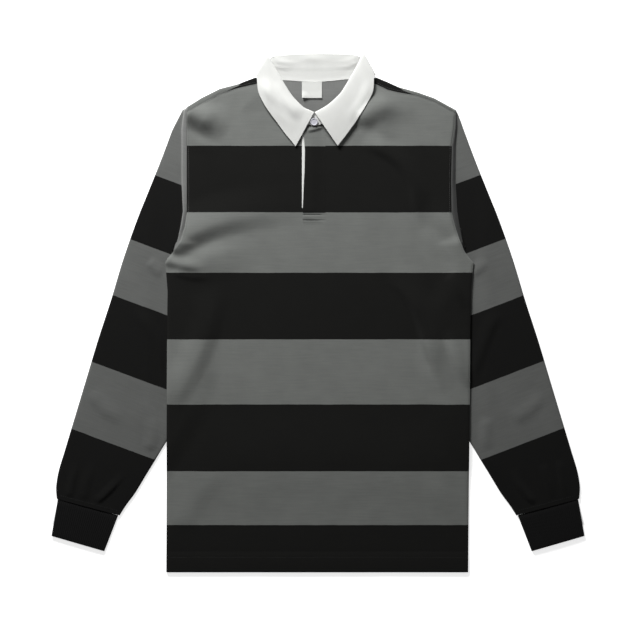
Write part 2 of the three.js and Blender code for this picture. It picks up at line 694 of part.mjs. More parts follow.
function sleeve(side) {
  const turn = side === "left" ? 1 : -1;
  const rows = ARMHOLE[side];
  const stripAt = (blend, offset) => (u) => {
    const y = mix(ARMHOLE_TOP + 1.5, ARMHOLE_BOTTOM, u);
    const seam = Math.min(TUCK[side], Math.abs(lookUp(rows, "y", y, "seam")));
    const fold = y > TUCK.top ? Math.abs(lookUp(rows, "y", y, "fold")) : seam + TUCK.foldWidth;
    return [-turn * (mix(seam, fold, blend) + offset), y];
  };
  // The rows of the fold beside the armhole: place between seam and fold, extra height
  const strip = [
    { blend: 0, offset: 1.0, extra: 0.6 },
    { blend: 0.45, offset: 0.3, extra: SLEEVE_FOLD_HEIGHT },
    { blend: 1, offset: 0.3, extra: SLEEVE_FOLD_HEIGHT * 0.8 },
    { blend: 1, offset: 1.2, extra: 0 },
  ];
  const rings = strip.map(({ blend, offset, extra }) => {
    const height = (u) => SLEEVE_HEIGHT + extra * ease((0.87 - u) / 0.14) * ease((u + 0.1) / 0.2);
    const at = stripAt(blend, offset);
    return flatRing(at, SLEEVE_STATIONS, SLEEVE_BOTTOM_STATIONS, height, CLOTH, EDGE_INSET);
  });
  for (const row of SLEEVE_SECTIONS) {
    const at = (u) => [
      turn * (mix(row.outerX, row.innerX, u) + row.bow * 4 * u * (1 - u)),
      mix(row.outerY, row.innerY, u),
    ];
    const height = (u) => {
      const shown = ease((Math.abs(at(u)[0]) - 240) / 26);
      const round = Math.sqrt(Math.sin(Math.PI * clamp01(u)));
      return SLEEVE_HEIGHT + SLEEVE_PUFF * shown * round;
    };
    rings.push(flatRing(at, SLEEVE_STATIONS, SLEEVE_BOTTOM_STATIONS, height, CLOTH, EDGE_INSET));
  }
  return tube(rings);
}

function cuff(side) {
  const turn = side === "left" ? 1 : -1;
  const height = 2 * CUFF.wall + 0.5;
  const stations = [];
  for (let rib = 0; rib < CUFF.ribs; rib++) {
    for (const part of CUFF.ribParts) stations.push((rib + part) / CUFF.ribs);
  }
  const raised = (u) => {
    const part = (u * CUFF.ribs) % 1;
    return part > 0.2 && part < 0.8 ? CUFF.ribHeight : 0;
  };
  const rings = [CUFF.top, CUFF.end].map((row) => {
    const at = (u) => [turn * mix(row.outerX, row.innerX, u), mix(row.outerY, row.innerY, u)];
    const ring = flatRing(at, stations, CUFF.under, (u) => height + raised(u), CUFF.wall, CUFF.inset);
    // The wall is plain inside
    ring.inner = ring.inner.map(([x, y, z]) => [x, y, Math.min(z, height - CUFF.wall)]);
    return ring;
  });
  return tube(rings);
}

// Collar

// Points across one row of a collar table, with the height falling as given.
function collarRow(row, across, fall) {
  return across.map((a, k) => [
    mix(row.foldX, row.edgeX, a),
    mix(row.foldY, row.edgeY, a),
    mix(row.edgeZ, row.foldZ, fall[k]),
  ]);
}

// The rows that turn the cloth round from an upper row to a lower one, bulging sideways.
function rollRows(from, to, outward) {
  const rows = [];
  for (let k = 1; k < COLLAR_ROLL_STEPS; k++) {
    const angle = (Math.PI * k) / COLLAR_ROLL_STEPS;
    rows.push(
      from.map((a, i) => {
        const b = to[i];
        const radius = Math.abs(a[2] - b[2]) / 2;
        const t = (1 - Math.cos(angle)) / 2;
        const bulge = radius * Math.sin(angle);
        return [
          mix(a[0], b[0], t) + outward[0] * bulge,
          mix(a[1], b[1], t) + outward[1] * bulge,
          mix(a[2], b[2], t),
        ];
      }),
    );
  }
  return rows;
}

function collarBand(tables, across, frontFall, backFall, thickness) {
  const left = tables.left.map((row) => collarRow(row, across, frontFall));
  const back = tables.back.map((row) => collarRow(row, across, backFall));
  const right = tables.right.map((row) => collarRow(row, across, frontFall));
  const middle = [
    ...left,
    ...rollRows(left[left.length - 1], back[0], [-0.81, 0.58]),
    ...back,
    ...rollRows(back[back.length - 1], right[0], [0.81, 0.58]),
    ...right,
  ];
  return cloth(middle, () => thickness / 2);
}

function collarLeaf() {
  const tables = { left: LEAF_LEFT, back: LEAF_BACK, right: LEAF_RIGHT };
  return collarBand(tables, LEAF_ACROSS, LEAF_FALL_FRONT, LEAF_FALL_BACK, TWILL);
}

function collarStand() {
  const tables = { left: STAND_LEFT, back: STAND_BACK, right: STAND_RIGHT };
  return collarBand(tables, STAND_ACROSS, STAND_FALL, STAND_FALL, CLOTH);
}

// Placket, label and button

// A strip that lies on a surface, between two edges that may change with y.
function laidStrip(levels, edgesAt, parts, baseAt, thickness) {
  const lower = levels.map((y) => {
    const [left, right] = edgesAt(y);
    return parts.map((t) => {
      const x = mix(left, right, t);
      return [x, y, baseAt(x, y)];
    });
  });
  const upper = lower.map((row) => row.map(([x, y, z]) => [x, y, z + thickness]));
  return wall(upper, lower);
}

function placketFacing() {
  const base = (x, y) => frontTop(x, y) + SEAM_GAP;
  const edges = () => [FACING.leftX, FACING.rightX];
  return laidStrip(FACING.levels, edges, STRIP_PARTS, base, FACING.thickness);
}

function placketFly() {
  const base = (x, y) => {
    const overFacing = ease((y - (FACING.bottom - 12)) / 10);
    return frontTop(x, y) + SEAM_GAP + overFacing * (FACING.thickness + SEAM_GAP);
  };
  const edges = (y) => [lookUp(FLY.leftEdge, "y", y, "x"), FLY.rightX];
  return laidStrip(FLY.levels, edges, STRIP_PARTS, base, FLY.thickness);
}

function neckLabel() {
  const base = (x, y) => {
    const corner = ease(1 - Math.hypot(x - LABEL.leftX, y - LABEL.bottomY) / LABEL.curlReach);
    return lift(x, y) + CLOTH + LABEL.gap + LABEL.curl * corner;
  };
  const levels = LABEL.down.map((t) => mix(LABEL.topY, LABEL.bottomY, t));
  const edges = () => [LABEL.leftX, LABEL.rightX];
  return laidStrip(levels, edges, LABEL.across, base, LABEL.thickness);
}

function neckButton() {
  const { radius, thickness } = BUTTON;
  const profile = [
    [0, 0],
    [radius * 0.9, 0],
    [radius, thickness * 0.3],
    [radius, thickness * 0.7],
    [radius * 0.88, thickness],
    [radius * 0.72, thickness],
    [radius * 0.6, thickness * 0.8],
    [0, thickness * 0.76],
  ];
  const geometry = new THREE.LatheGeometry(profile.map(([r, h]) => new THREE.Vector2(r, h)), 32);
  geometry.rotateX(Math.PI / 2);
  return geometry;
}

// The shirt

const shirt = new THREE.Group();

function add(name, geometry, look) {
  const mesh = new THREE.Mesh(geometry, new THREE.MeshStandardMaterial(look));
  mesh.name = name;
  shirt.add(mesh);
  return mesh;
}

const jersey = { color: 0x5b5c5b, roughness: 0.92, metalness: 0 };
const blackJersey = { color: 0x1b1b1a, roughness: 0.92, metalness: 0 };
const twill = { color: 0xe4e4e0, roughness: 0.85, metalness: 0 };

add("back_panel", backPanel(), jersey);
add("front_panel", frontPanel(), jersey);
for (const side of ["left", "right"]) {
  add("sleeve_" + side, sleeve(side), jersey);
  add("cuff_" + side, cuff(side), blackJersey);
}
add("collar_stand", collarStand(), twill);
add("collar_leaf", collarLeaf(), twill);
add("placket_facing", placketFacing(), twill);
add("placket_fly", placketFly(), blackJersey);
add("neck_label", neckLabel(), { color: 0xecece8, roughness: 0.8, metalness: 0 });
const button = add("neck_button", neckButton(), { color: 0xdcdce4, roughness: 0.45, metalness: 0 });
button.position.set(BUTTON.x, BUTTON.y, BUTTON.z);
button.rotation.x = BUTTON.tilt;

export default shirt;
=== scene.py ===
import math
from functools import partial

import bpy
import numpy as np
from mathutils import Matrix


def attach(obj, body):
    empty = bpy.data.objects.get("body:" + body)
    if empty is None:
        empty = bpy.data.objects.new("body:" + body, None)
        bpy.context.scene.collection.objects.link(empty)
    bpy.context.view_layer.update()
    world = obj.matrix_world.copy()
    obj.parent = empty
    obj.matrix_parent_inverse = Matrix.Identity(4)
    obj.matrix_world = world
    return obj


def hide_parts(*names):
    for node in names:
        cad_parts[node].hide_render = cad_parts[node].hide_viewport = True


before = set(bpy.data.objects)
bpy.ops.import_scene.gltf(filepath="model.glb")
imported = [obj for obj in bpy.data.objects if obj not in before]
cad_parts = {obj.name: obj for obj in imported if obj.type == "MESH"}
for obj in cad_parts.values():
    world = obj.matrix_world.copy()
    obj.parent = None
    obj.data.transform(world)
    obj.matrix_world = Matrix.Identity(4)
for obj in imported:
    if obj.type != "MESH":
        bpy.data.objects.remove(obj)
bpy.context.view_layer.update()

mm = 0.001  # the sizes below are in millimetres, the meshes in metres


# Camera: straight above the shirt, which lies on its back

cameraView = {"x": 3.1, "y": -10.3, "frameWidth": 992.0, "lens": 100.0, "sensor": 36.0}


def makeCamera(sizes):
    data = bpy.data.cameras.new("camera")
    data.lens = sizes["lens"]
    data.sensor_width = sizes["sensor"]
    camera = bpy.data.objects.new("camera", data)
    height = sizes["frameWidth"] * sizes["lens"] / sizes["sensor"]
    camera.location = (sizes["x"] * mm, sizes["y"] * mm, height * mm)
    bpy.context.scene.collection.objects.link(camera)
    bpy.context.scene.camera = camera
    data.clip_start = 0.01
    data.clip_end = 50


makeCamera(cameraView)
bpy.context.scene.view_settings.view_transform = "Standard"
print("camera placed")


# Helpers


def ease(t):
    c = np.clip(t, 0.0, 1.0)
    return c * c * (3 - 2 * c)


def mix(a, b, t):
    return a + (b - a) * t


def roundEdge(inward, width, drop):
    # how far a sheet falls toward its edge
    return drop * (1 - ease(inward / width)) ** 2


def table(names, *rows):
    keys = names.split()
    return [dict(zip(keys, row)) for row in rows]


def foldTable(*rows):
    # the widths are on the right and the left of the crest's course, the fades at its start and end
    return table("height rightWidth leftWidth crest fade", *rows)


def readTable(rows, key, at, value):
    ordered = sorted(rows, key=lambda row: row[key])
    places = [row[key] for row in ordered]
    return np.interp(at, places, [row[value] for row in ordered])


def curvePoint(a, b, c, d, t):
    # a smooth curve through b and c, with a and d as its neighbours
    return 0.5 * (2 * b + (c - a) * t + (2 * a - 5 * b + 4 * c - d) * t**2 + (3 * b - a - 3 * c + d) * t**3)


def smoothRows(points, steps):
    # more rows along the first axis of an array of points
    points = np.asarray(points, float)
    count = len(points)
    rows = []
    for i in range(count - 1):
        a, b = points[max(i - 1, 0)], points[i]
        c, d = points[i + 1], points[min(i + 2, count - 1)]
        rows += [curvePoint(a, b, c, d, k / steps) for k in range(steps)]
    rows.append(points[-1])
    return np.array(rows)


def foldHeight(fold, x, y):
    # a soft ridge along its crest
    crest = smoothRows(fold["crest"], 6)
    height = np.zeros_like(x)
    reach = max(fold["rightWidth"], fold["leftWidth"])
    low, high = crest.min(0) - reach, crest.max(0) + reach
    near = (x > low[0]) & (x < high[0]) & (y > low[1]) & (y < high[1])
    px, py = x[near], y[near]
    if not px.size:
        return height
    closest = np.full(px.shape, 1e9)
    along = np.zeros(px.shape)
    side = np.zeros(px.shape)
    for i in range(len(crest) - 1):
        a, d = crest[i], crest[i + 1] - crest[i]
        t = np.clip(((px - a[0]) * d[0] + (py - a[1]) * d[1]) / (d @ d), 0, 1)
        away = np.hypot(px - a[0] - t * d[0], py - a[1] - t * d[1])
        closer = away < closest
        closest = np.where(closer, away, closest)
        along = np.where(closer, (i + t) / (len(crest) - 1), along)
        side = np.where(closer, d[0] * (py - a[1]) - d[1] * (px - a[0]), side)
    width = np.where(side < 0, fold["rightWidth"], fold["leftWidth"])
    start, end = fold.get("fade", (0.25, 0.45))
    fade = ease(along / start) * ease((1 - along) / end)
    height[near] = fold["height"] * fade * ease(1 - closest / width)
    return height


def sumFolds(folds, x, y):
    return sum(foldHeight(fold, x, y) for fold in folds)


def meshPiece(name, points, faces, uvs, materials, slots=None):
    mesh = bpy.data.meshes.new(name)
    mesh.from_pydata([tuple(p * mm) for p in points], [], faces)
    layer = mesh.uv_layers.new(name="cloth")
    corners = np.zeros(len(mesh.loops), dtype=np.int32)
    mesh.loops.foreach_get("vertex_index", corners)
    layer.data.foreach_set("uv", (np.asarray(uvs)[corners] * mm).astype(np.float32).ravel())
    for material in materials:
        mesh.materials.append(material)
    if slots is not None:
        mesh.polygons.foreach_set("material_index", np.asarray(slots, dtype=np.int32))
    mesh.update()
    piece = bpy.data.objects.new(name, mesh)
    bpy.context.scene.collection.objects.link(piece)
    return piece


def gridFaces(rows, columns, closed=False):
    faces = []
    for i in range(rows - 1):
        for j in range(columns if closed else columns - 1):
            k = (j + 1) % columns
            faces.append((i * columns + j, (i + 1) * columns + j, (i + 1) * columns + k, i * columns + k))
    return faces


def selectOnly(piece):
    bpy.ops.object.select_all(action="DESELECT")
    piece.select_set(True)
    bpy.context.view_layer.objects.active = piece


def applyModifier(piece, kind, **settings):
    selectOnly(piece)
    modifier = piece.modifiers.new(kind.lower(), kind)
    for key, value in settings.items():
        setattr(modifier, key, value)
    bpy.ops.object.modifier_apply(modifier=modifier.name)


def smoothShading(piece, degrees=40):
    selectOnly(piece)
    bpy.ops.object.shade_smooth_by_angle(angle=math.radians(degrees))


def clothPiece(name, grid, uvs, materials, thickness, offset=-1.0, closed=False, slots=None, backSlot=0):
    # a sheet or a tube of cloth from a grid of points whose normals point outward
    rows, columns = grid.shape[:2]
    faces = gridFaces(rows, columns, closed)
    piece = meshPiece(name, grid.reshape(-1, 3), faces, uvs.reshape(-1, 2), materials, slots)
    shell = {"thickness": thickness * mm, "offset": offset}
    applyModifier(piece, "SOLIDIFY", material_offset=backSlot, material_offset_rim=backSlot, **shell)
    smoothShading(piece)
    return piece


def layerPiece(name, x, y, z, material, thickness, clothShift=0):
    grid, cloth = np.dstack([x, y, z]), np.dstack([x, y + clothShift])
    return clothPiece(name, grid, cloth, [material], thickness)


def declare(piece, node=None):
    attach(piece, "root")
    if node:
        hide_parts(node)


# Materials

finish = {
    "grey": (0.147, 0.153, 0.145),
    "greyInside": (0.160, 0.163, 0.158),
    # painted shade: the sleeves' grey and black are the body's colours made darker
    "greySleeveShaded": (0.110, 0.113, 0.109),
    # painted light and painted shade: the grey of the two armhole fold strips, lighter on the left and darker
    # on the right
    "greyLit": (0.195, 0.198, 0.193),
    "greyShaded": (0.055, 0.056, 0.055),
    "black": (0.0050, 0.0050, 0.0044),
    "blackSleeveShaded": (0.0034, 0.0034, 0.0031),
    "rib": (0.0027, 0.0027, 0.0027),
    "white": (0.615, 0.62, 0.60),
    "label": (0.57, 0.575, 0.555),
    "button": (0.50, 0.50, 0.55),
    "thread": (0.64, 0.645, 0.625),
    "greyThread": (0.10, 0.10, 0.10),
    "blackThread": (0.016, 0.016, 0.016),
}


def addNode(tree, kind, inputs, **settings):
    # a shader node whose inputs are set, or linked to other nodes
    node = tree.nodes.new("ShaderNode" + kind)
    for key, value in settings.items():
        setattr(node, key, value)
    for key, value in inputs.items():
        if isinstance(value, bpy.types.NodeSocket):
            tree.links.new(value, node.inputs[key])
        else:
            node.inputs[key].default_value = value
    return node


def mathNode(tree, operation, *values):
    return addNode(tree, "Math", dict(enumerate(values)), operation=operation).outputs[0]


def splitNode(tree, place):
    return addNode(tree, "SeparateXYZ", {0: place}).outputs


def noiseNode(tree, place, scale, detail=2):
    return addNode(tree, "TexNoise", {"Vector": place, "Scale": scale, "Detail": detail}).outputs["Fac"]


def openGroup(name, lengths):
    # a node group that is given a place on the cloth and some lengths
    group = bpy.data.node_groups.new(name, "ShaderNodeTree")
    group.interface.new_socket(name="Place", in_out="INPUT", socket_type="NodeSocketVector")
    for label, value in lengths.items():
        socket = group.interface.new_socket(name=label, in_out="INPUT", socket_type="NodeSocketFloat")
        socket.default_value = value
    return group, group.nodes.new("NodeGroupInput").outputs


def closeGroup(group, results):
    for label in results:
        group.interface.new_socket(name=label, in_out="OUTPUT", socket_type="NodeSocketFloat")
    end = group.nodes.new("NodeGroupOutput")
    for label, value in results.items():
        group.links.new(value, end.inputs[label])
    return group


def knitGroup():
    # rows of small V stitches, and flecks of lighter and darker yarn
    group, given = openGroup("knit stitches", {"Wale": 0.0013, "Course": 0.0010})
    calc = partial(mathNode, group)
    place = given["Place"]
    x, y, _ = splitNode(group, place)
    across = calc("DIVIDE", x, given["Wale"])
    leg = calc("PINGPONG", across, 0.5)
    slanted = calc("ADD", calc("DIVIDE", y, given["Course"]), calc("MULTIPLY", leg, 1.2))
    loops = calc("SINE", calc("MULTIPLY", slanted, 2 * math.pi))
    wale = calc("ABSOLUTE", calc("SINE", calc("MULTIPLY", across, math.pi)))
    # thicker and thinner yarn: faint streaks along the courses
    stretched = addNode(group, "VectorMath", {0: place, 1: (26, 420, 1)}, operation="MULTIPLY")
    results = {
        "Height": calc("ADD", calc("MULTIPLY", loops, 0.25), calc("MULTIPLY", wale, 0.75)),
        "Fleck": noiseNode(group, place, 900, 3),
        "Cloud": noiseNode(group, place, 28, 4),
        "Streak": noiseNode(group, stretched.outputs["Vector"], 1),
    }
    return closeGroup(group, results)


def twillGroup():
    # fine diagonal ridges of a cotton twill
    group, given = openGroup("twill lines", {"Pitch": 0.0009})
    calc = partial(mathNode, group)
    x, y, _ = splitNode(group, given["Place"])
    turns = calc("DIVIDE", calc("ADD", x, calc("MULTIPLY", y, 0.8)), given["Pitch"])
    height = calc("ABSOLUTE", calc("SINE", calc("MULTIPLY", turns, math.pi)))
    return closeGroup(group, {"Height": height, "Cloud": noiseNode(group, given["Place"], 60, 5)})


knit = knitGroup()
twill = twillGroup()


def startMaterial(name, roughness, specular, sheen=0.0):
    material = bpy.data.materials.new(name)
    material.use_nodes = True
    shader = material.node_tree.nodes["Principled BSDF"]
    shader.inputs["Roughness"].default_value = roughness
    shader.inputs["Specular IOR Level"].default_value = specular
    shader.inputs["Sheen Weight"].default_value = sheen
    shader.inputs["Sheen Roughness"].default_value = 0.6
    return material, material.node_tree, shader


def coverSurface(tree, shader, color, height, distance, strength):
    # the colour, and a bump from a height
    bump = addNode(tree, "Bump", {"Height": height, "Distance": distance, "Strength": strength})
    tree.links.new(bump.outputs["Normal"], shader.inputs["Normal"])
    tree.links.new(color, shader.inputs["Base Color"])


def clothPlace(tree):
    return addNode(tree, "UVMap", {}, uv_map="cloth").outputs["UV"]


def shadeColor(tree, color, noise, low, high):
    # the colour made darker or lighter by a noise, which lies mostly between 0.3 and 0.7
    limits = {"From Min": 0.3, "From Max": 0.7, "To Min": low, "To Max": high}
    scale = addNode(tree, "MapRange", {"Value": noise, **limits}).outputs["Result"]
    return addNode(tree, "VectorMath", {0: color, "Scale": scale}, operation="SCALE").outputs["Vector"]


def stripes(tree, place, cloud, colors, edges):
    # colours along the cloth's own length: above the highest edge the first of the two
    low, high = min(edges) - 20, max(edges) + 20
    calc = partial(mathNode, tree)
    wander = calc("MULTIPLY", calc("SUBTRACT", cloud, 0.5), 0.0012)
    along = calc("ADD", splitNode(tree, place)[1], wander)
    share = calc("DIVIDE", calc("SUBTRACT", along, low * mm), (high - low) * mm)
    ramp = addNode(tree, "ValToRGB", {"Fac": share})
    ramp.color_ramp.interpolation = "CONSTANT"
    stops = ramp.color_ramp.elements
    stops.remove(stops[1])
    for i, edge in enumerate([low, *sorted(edges)]):
        stop = stops.new((edge - low) / (high - low)) if i else stops[0]
        stop.color = (*colors[(len(edges) - i) % 2], 1)
    return ramp.outputs["Color"]


def jerseyMaterial(name, color, second=None, edges=()):
    # heavy cotton jersey, plain or striped
    material, tree, shader = startMaterial(name, 0.92, 0.12, 0.04)
    place = clothPlace(tree)
    stitches = addNode(tree, "Group", {"Place": place}, node_tree=knit).outputs
    if edges:
        color = stripes(tree, place, stitches["Cloud"], (color, second), edges)
    for layer, spread in (("Fleck", 0.06), ("Cloud", 0.05), ("Streak", 0.045)):
        color = shadeColor(tree, color, stitches[layer], 1 - spread, 1 + spread)
    coverSurface(tree, shader, color, stitches["Height"], 0.00012, 0.7)
    return material


def twillMaterial(name, color, pitch=0.0009):
    material, tree, shader = startMaterial(name, 0.8, 0.2, 0.05)
    lines = addNode(tree, "Group", {"Place": clothPlace(tree), "Pitch": pitch}, node_tree=twill).outputs
    shade = shadeColor(tree, color, lines["Cloud"], 0.975, 1.02)
    coverSurface(tree, shader, shade, lines["Height"], 0.00008, 0.6)
    return material


def objectPlace(tree):
    return tree.nodes.new("ShaderNodeTexCoord").outputs["Object"]


def grainMaterial(name, color, roughness, specular, scale, spread, distance, strength):
    # thread and button: a fine grain
    material, tree, shader = startMaterial(name, roughness, specular)
    grain = noiseNode(tree, objectPlace(tree), scale)
    shade = shadeColor(tree, color, grain, 1 - spread, 1 + spread)
    coverSurface(tree, shader, shade, grain, distance, strength)
    return material


bodyStripes = (259.0, 154.1, 62.2, -40.9, -141.2, -246.3, -329.8)
sleeveStripes = {
    "left": (112.0, 6.0, -85.3, -192.9, -301.6),
    "right": (109.7, 2.9, -88.9, -194.9, -303.2),
}
backTopStripe = 354.0  # the back has one more stripe, which shows where it wraps over the shoulders
backStripes = (backTopStripe, *bodyStripes)
threadLook = {
    "roughness": 0.6,
    "specular": 0.3,
    "scale": 2500,
    "spread": 0.15,
    "distance": 0.0001,
    "strength": 0.5,
}

frontJersey = jerseyMaterial("front jersey", finish["grey"], finish["black"], bodyStripes)
backJersey = jerseyMaterial("back jersey", finish["black"], finish["grey"], backStripes)
insideJersey = jerseyMaterial("back jersey inside", finish["black"], finish["greyInside"], backStripes)
# the fold strips beside the armholes: grey with painted light on the left and painted shade on the right
foldJerseyLitShaded = {
    "left": jerseyMaterial("fold jersey left", finish["greyLit"]),
    "right": jerseyMaterial("fold jersey right", finish["greyShaded"]),
}
# the sleeves' stripes, in the body's colours darkened as painted shade
shadedSleeveJersey = {
    side: jerseyMaterial("sleeve jersey " + side, finish["greySleeveShaded"], finish["blackSleeveShaded"], edges)
    for side, edges in sleeveStripes.items()
}
ribKnit = jerseyMaterial("black rib", finish["rib"])
collarTwill = twillMaterial("collar twill", finish["white"])
labelWeave = twillMaterial("label weave", finish["label"], 0.0005)
whiteThread, greyThread, blackThread = (
    grainMaterial(name + " thread", finish[color], **threadLook)
    for name, color in (("white", "thread"), ("grey", "greyThread"), ("black", "blackThread"))
)
print("materials made")


# How the body lies

body = {
    "cloth": 1.6,
    "seamGap": 0.3,
    "hemY": -401.0,
    "hemTop": -371.0,
    "hemExtra": 0.8,
    "sleeveHeight": 3.7,
    "sleeveSpare": 0.75,
    "collarSpare": 0.5,
    "neckSpare": 0.5,
    "twill": 1.8,
    "sleeveMargin": 6.0,
    "sleeveSlope": 40.0,
    "collarX": -4.0,
    "collarReach": 90.0,
    "collarFoot": 340.0,
    "collarSlope": 36.0,
    "centreX": -1.0,
    "armholeTop": 311.0,
    "armholeBottom": 78.0,
    "risingFrom": 205.0,
    "cell": 3.0,
    "armholeTurn": 0.6,
}
armhole = {
    "left": table(
        "y seam fold",
        (311, -201.5, -207.5),
        (286, -202.3, -210.8),
        (206, -202.3, -210.8),
        (158, -202.3, -208.5),
        (135, -205.4, -212.0),
        (113, -211.6, -217.0),
        (96, -222.4, -226.5),
        (84, -232.5, -235.0),
        (78, -236.4, -238.2),
    ),
    "right": table(
        "y seam fold",
        (311, 212.5, 214.6),
        (286, 210.8, 215.4),
        (259, 206.6, 213.0),
        (206, 205.4, 212.4),
        (158, 206.0, 215.0),
        (135, 211.6, 218.6),
        (113, 218.6, 222.6),
        (96, 225.5, 229.0),
        (84, 235.0, 237.4),
        (78, 240.5, 242.2),
    ),
}
sides = table(
    "y left right",
    (78, -236.4, 240.5),
    (63, -234.8, 238.7),
    (35, -232.5, 236.6),
    (-26, -233.3, 235.6),
    (-197, -234.1, 234.1),
    (-401, -234.8, 232.5),
)
shoulders = {
    "left": table(
        "x fold seam",
        (-201.5, 320.5, 311.2),
        (-180, 334.0, 324.0),
        (-152, 348.0, 339.8),
        (-124, 355.2, 349.2),
        (-98, 364.8, 354.8),
        (-88, 364.8, 356.4),
    ),
    "right": table(
        "x fold seam",
        (82, 364.8, 357.4),
        (91, 364.8, 354.6),
        (108, 358.0, 346.4),
        (124, 350.8, 342.6),
        (154, 342.6, 337.6),
        (180, 333.4, 328.6),
        (212.5, 315.6, 311.2),
    ),
}
frontNeck = table(
    "x y",
    *((-88, 356), (-72, 335), (-55, 313), (-32, 296), (-6, 289), (22, 296), (45, 313), (64, 335), (82, 357)),
)
backNeck = table("x y", (-88, 362), (-57, 360.7), (-12, 357.6), (20, 359), (50, 362.2), (82, 363))
sleeveSections = table(
    "outerX outerY innerX innerY bow",
    (-226, 283.5, -228, 70, 6),
    (-243, 238, -229.4, 63.5, 6),
    (-262, 190.5, -228.6, 53.4, 4),
    (-280.6, 144, -221, 42, 2),
    (-302.3, 82, -206, 14, 0),
    (-320.9, 20, -193, -34, 0),
    (-341, -42, -192, -92, 0),
    (-359.6, -104, -213, -160, 0),
    (-378.2, -166, -243.5, -213, 0),
    (-392.2, -212.5, -266, -250, 0),
    (-401.5, -243.5, -283, -278, 0),
    (-405.6, -268, -297, -297, 0),
    (-404.8, -286, -306.6, -312, 0),
)
tuck = {"top": 103.0, "left": 220.0, "right": 222.0, "foldWidth": 3.0}
armCap = {
    # the shirt's outline where the shoulder runs on into the sleeve
    "left": table("x y", (201.5, 320.5), (207, 316.5), (210.8, 314.5), (214, 308), (218.5, 299), (226, 283.5)),
    "right": table("x y", (212.5, 315.6), (213.9, 314.5), (217, 308), (221.6, 299), (226, 287)),
}


def sleeveReach(y):
    # how far from the middle the sleeve begins; above the tuck it is clear of the body
    top = tuck["top"] + 4
    rows = [{"y": row["innerY"], "reach": -row["innerX"]} for row in sleeveSections]
    rows.append({"y": top, "reach": tuck["left"] + 5})
    return readTable(rows, "y", y, "reach") + np.maximum(0, y - top) * 2


def lift(x, y):
    # how far the body is raised by the sleeves and the collar under it
    overSleeve = ease(1 - (sleeveReach(y) - body["sleeveMargin"] - np.abs(x)) / body["sleeveSlope"])
    beyondCollar = np.maximum(np.abs(x - body["collarX"]) - body["collarReach"], body["collarFoot"] - y)
    overCollar = ease(1 - np.maximum(beyondCollar, 0) / body["collarSlope"])
    sleeveRise = overSleeve * (body["sleeveHeight"] + body["sleeveSpare"])
    return sleeveRise + overCollar * (body["twill"] + body["collarSpare"])


def bodyEdge(side, y):
    # the cloth turns a little toward the sleeve where it is sewn to it
    turn = body["armholeTurn"] * (-1 if side == "left" else 1)
    above = readTable(armhole[side], "y", y, "seam") + turn
    below = readTable(sides, "y", y, side)
    return np.where(y >= body["armholeBottom"], above, below)


def bodyGrid(topEdge):
    # places of a body panel, rows from the top edge to the hem, and how far each is from the panel's side
    top, bottom = body["armholeTop"], body["hemY"]
    levels = np.linspace(top, bottom, int((top - bottom) / body["cell"]))
    levels = np.sort(np.append(levels, (bottom + 0.7, bottom + 1.8)))[::-1]
    share = np.sort(np.append(np.linspace(-1, 1, 156), (-0.996, -0.99, 0.99, 0.996)))
    u, level = np.meshgrid(share, levels)
    middle = body["centreX"]

    def reachAt(y):
        return np.where(u < 0, middle - bodyEdge("left", y), bodyEdge("right", y) - middle)

    rise = topEdge(middle + u * reachAt(top)) - top
    y = level + rise * ease((level - body["risingFrom"]) / (top - body["risingFrom"]))
    reach = reachAt(y)
    return middle + u * reach, y, (1 - np.abs(u)) * reach


def shoulderAt(x, column):
    left, right = (readTable(shoulders[side], "x", x, column) for side in ("left", "right"))
    return np.where(x < 0, left, right)


def beside(neck, x):
    return (x < neck[0]["x"]) | (x > neck[-1]["x"])


def shoulderOr(neck, x, column, shift, neckShift):
    atNeck = readTable(neck, "x", x, "y") - neckShift
    return np.where(beside(neck, x), shoulderAt(x, column) - shift, atNeck)


# Front panel and its creases

frontFolds = foldTable(
    # from the left underarm across the chest
    (8.2, 28, 50, [(-231, 95), (-207, 117), (-163, 138), (-109, 151), (-50, 158), (-6, 157)], (0.1, 0.75)),
    (4.3, 46, 26, [(-226, 52), (-186, 78), (-140, 92), (-84, 98)], (0.35, 0.6)),
    (4.2, 12, 16, [(-238, 83), (-216, 77), (-190, 71), (-160, 72)], (0.15, 0.6)),
    (1.6, 9, 12, [(-226, 66), (-196, 56), (-160, 58)]),
    # from the left shoulder point
    (12.5, 28, 38, [(-219, 318), (-200, 311), (-181, 303), (-162, 292), (-140, 280)], (0.3, 0.45)),
    (1.2, 20, 14, [(-208, 292), (-198, 279), (-186, 266), (-166, 257), (-146, 254)], (0.2, 0.4)),
    (1.4, 14, 20, [(-186, 336), (-168, 334), (-150, 340)]),
    # beside the collar, right
    (8.0, 30, 29, [(148, 304), (124, 313), (103, 318), (85, 315), (68, 305), (55, 292)], (0.5, 0.2)),
    (2.6, 18, 30, [(70, 316), (90, 300), (104, 282), (112, 262)], (0.3, 0.5)),
    # right chest
    (3.8, 12, 26, [(66, 264), (98, 252), (128, 230), (148, 196), (154, 160), (162, 130)], (0.2, 0.4)),
    (3.0, 22, 30, [(168, 172), (190, 150), (214, 116), (238, 78)], (0.5, 0.4)),
    (1.6, 24, 22, [(158, 130), (184, 106), (214, 84)], (0.5, 0.4)),
    # left waist
    (4.8, 25, 36,
     [(-230, -146), (-217, -126), (-196, -84), (-179, -48), (-168, -14), (-159, 26), (-150, 66)], (0.3, 0.4)),
    # right waist, inner and outer
    (8.0, 13, 40,
     [(104, 54), (130, 38), (150, 10), (162, -22), (171, -54), (183, -86), (200, -128)], (0.4, 0.4)),
    (3.2, 13, 18, [(200, 60), (212, 40), (228, 4)]),
    (4.6, 12, 20, [(196, -24), (212, -66), (232, -118)], (0.5, 0.4)),
    # low on the body: a wide wave across it, then one crease at each side
    (4.0, 104, 90, [(-236, -222), (-120, -230), (10, -226), (130, -232), (244, -224)], (0.16, 0.16)),
    (1.5, 26, 34, [(-212, -336), (-196, -300), (-172, -262), (-160, -240)]),
    (1.3, 26, 30, [(160, -246), (190, -288), (222, -330)], (0.5, 0.45)),
)
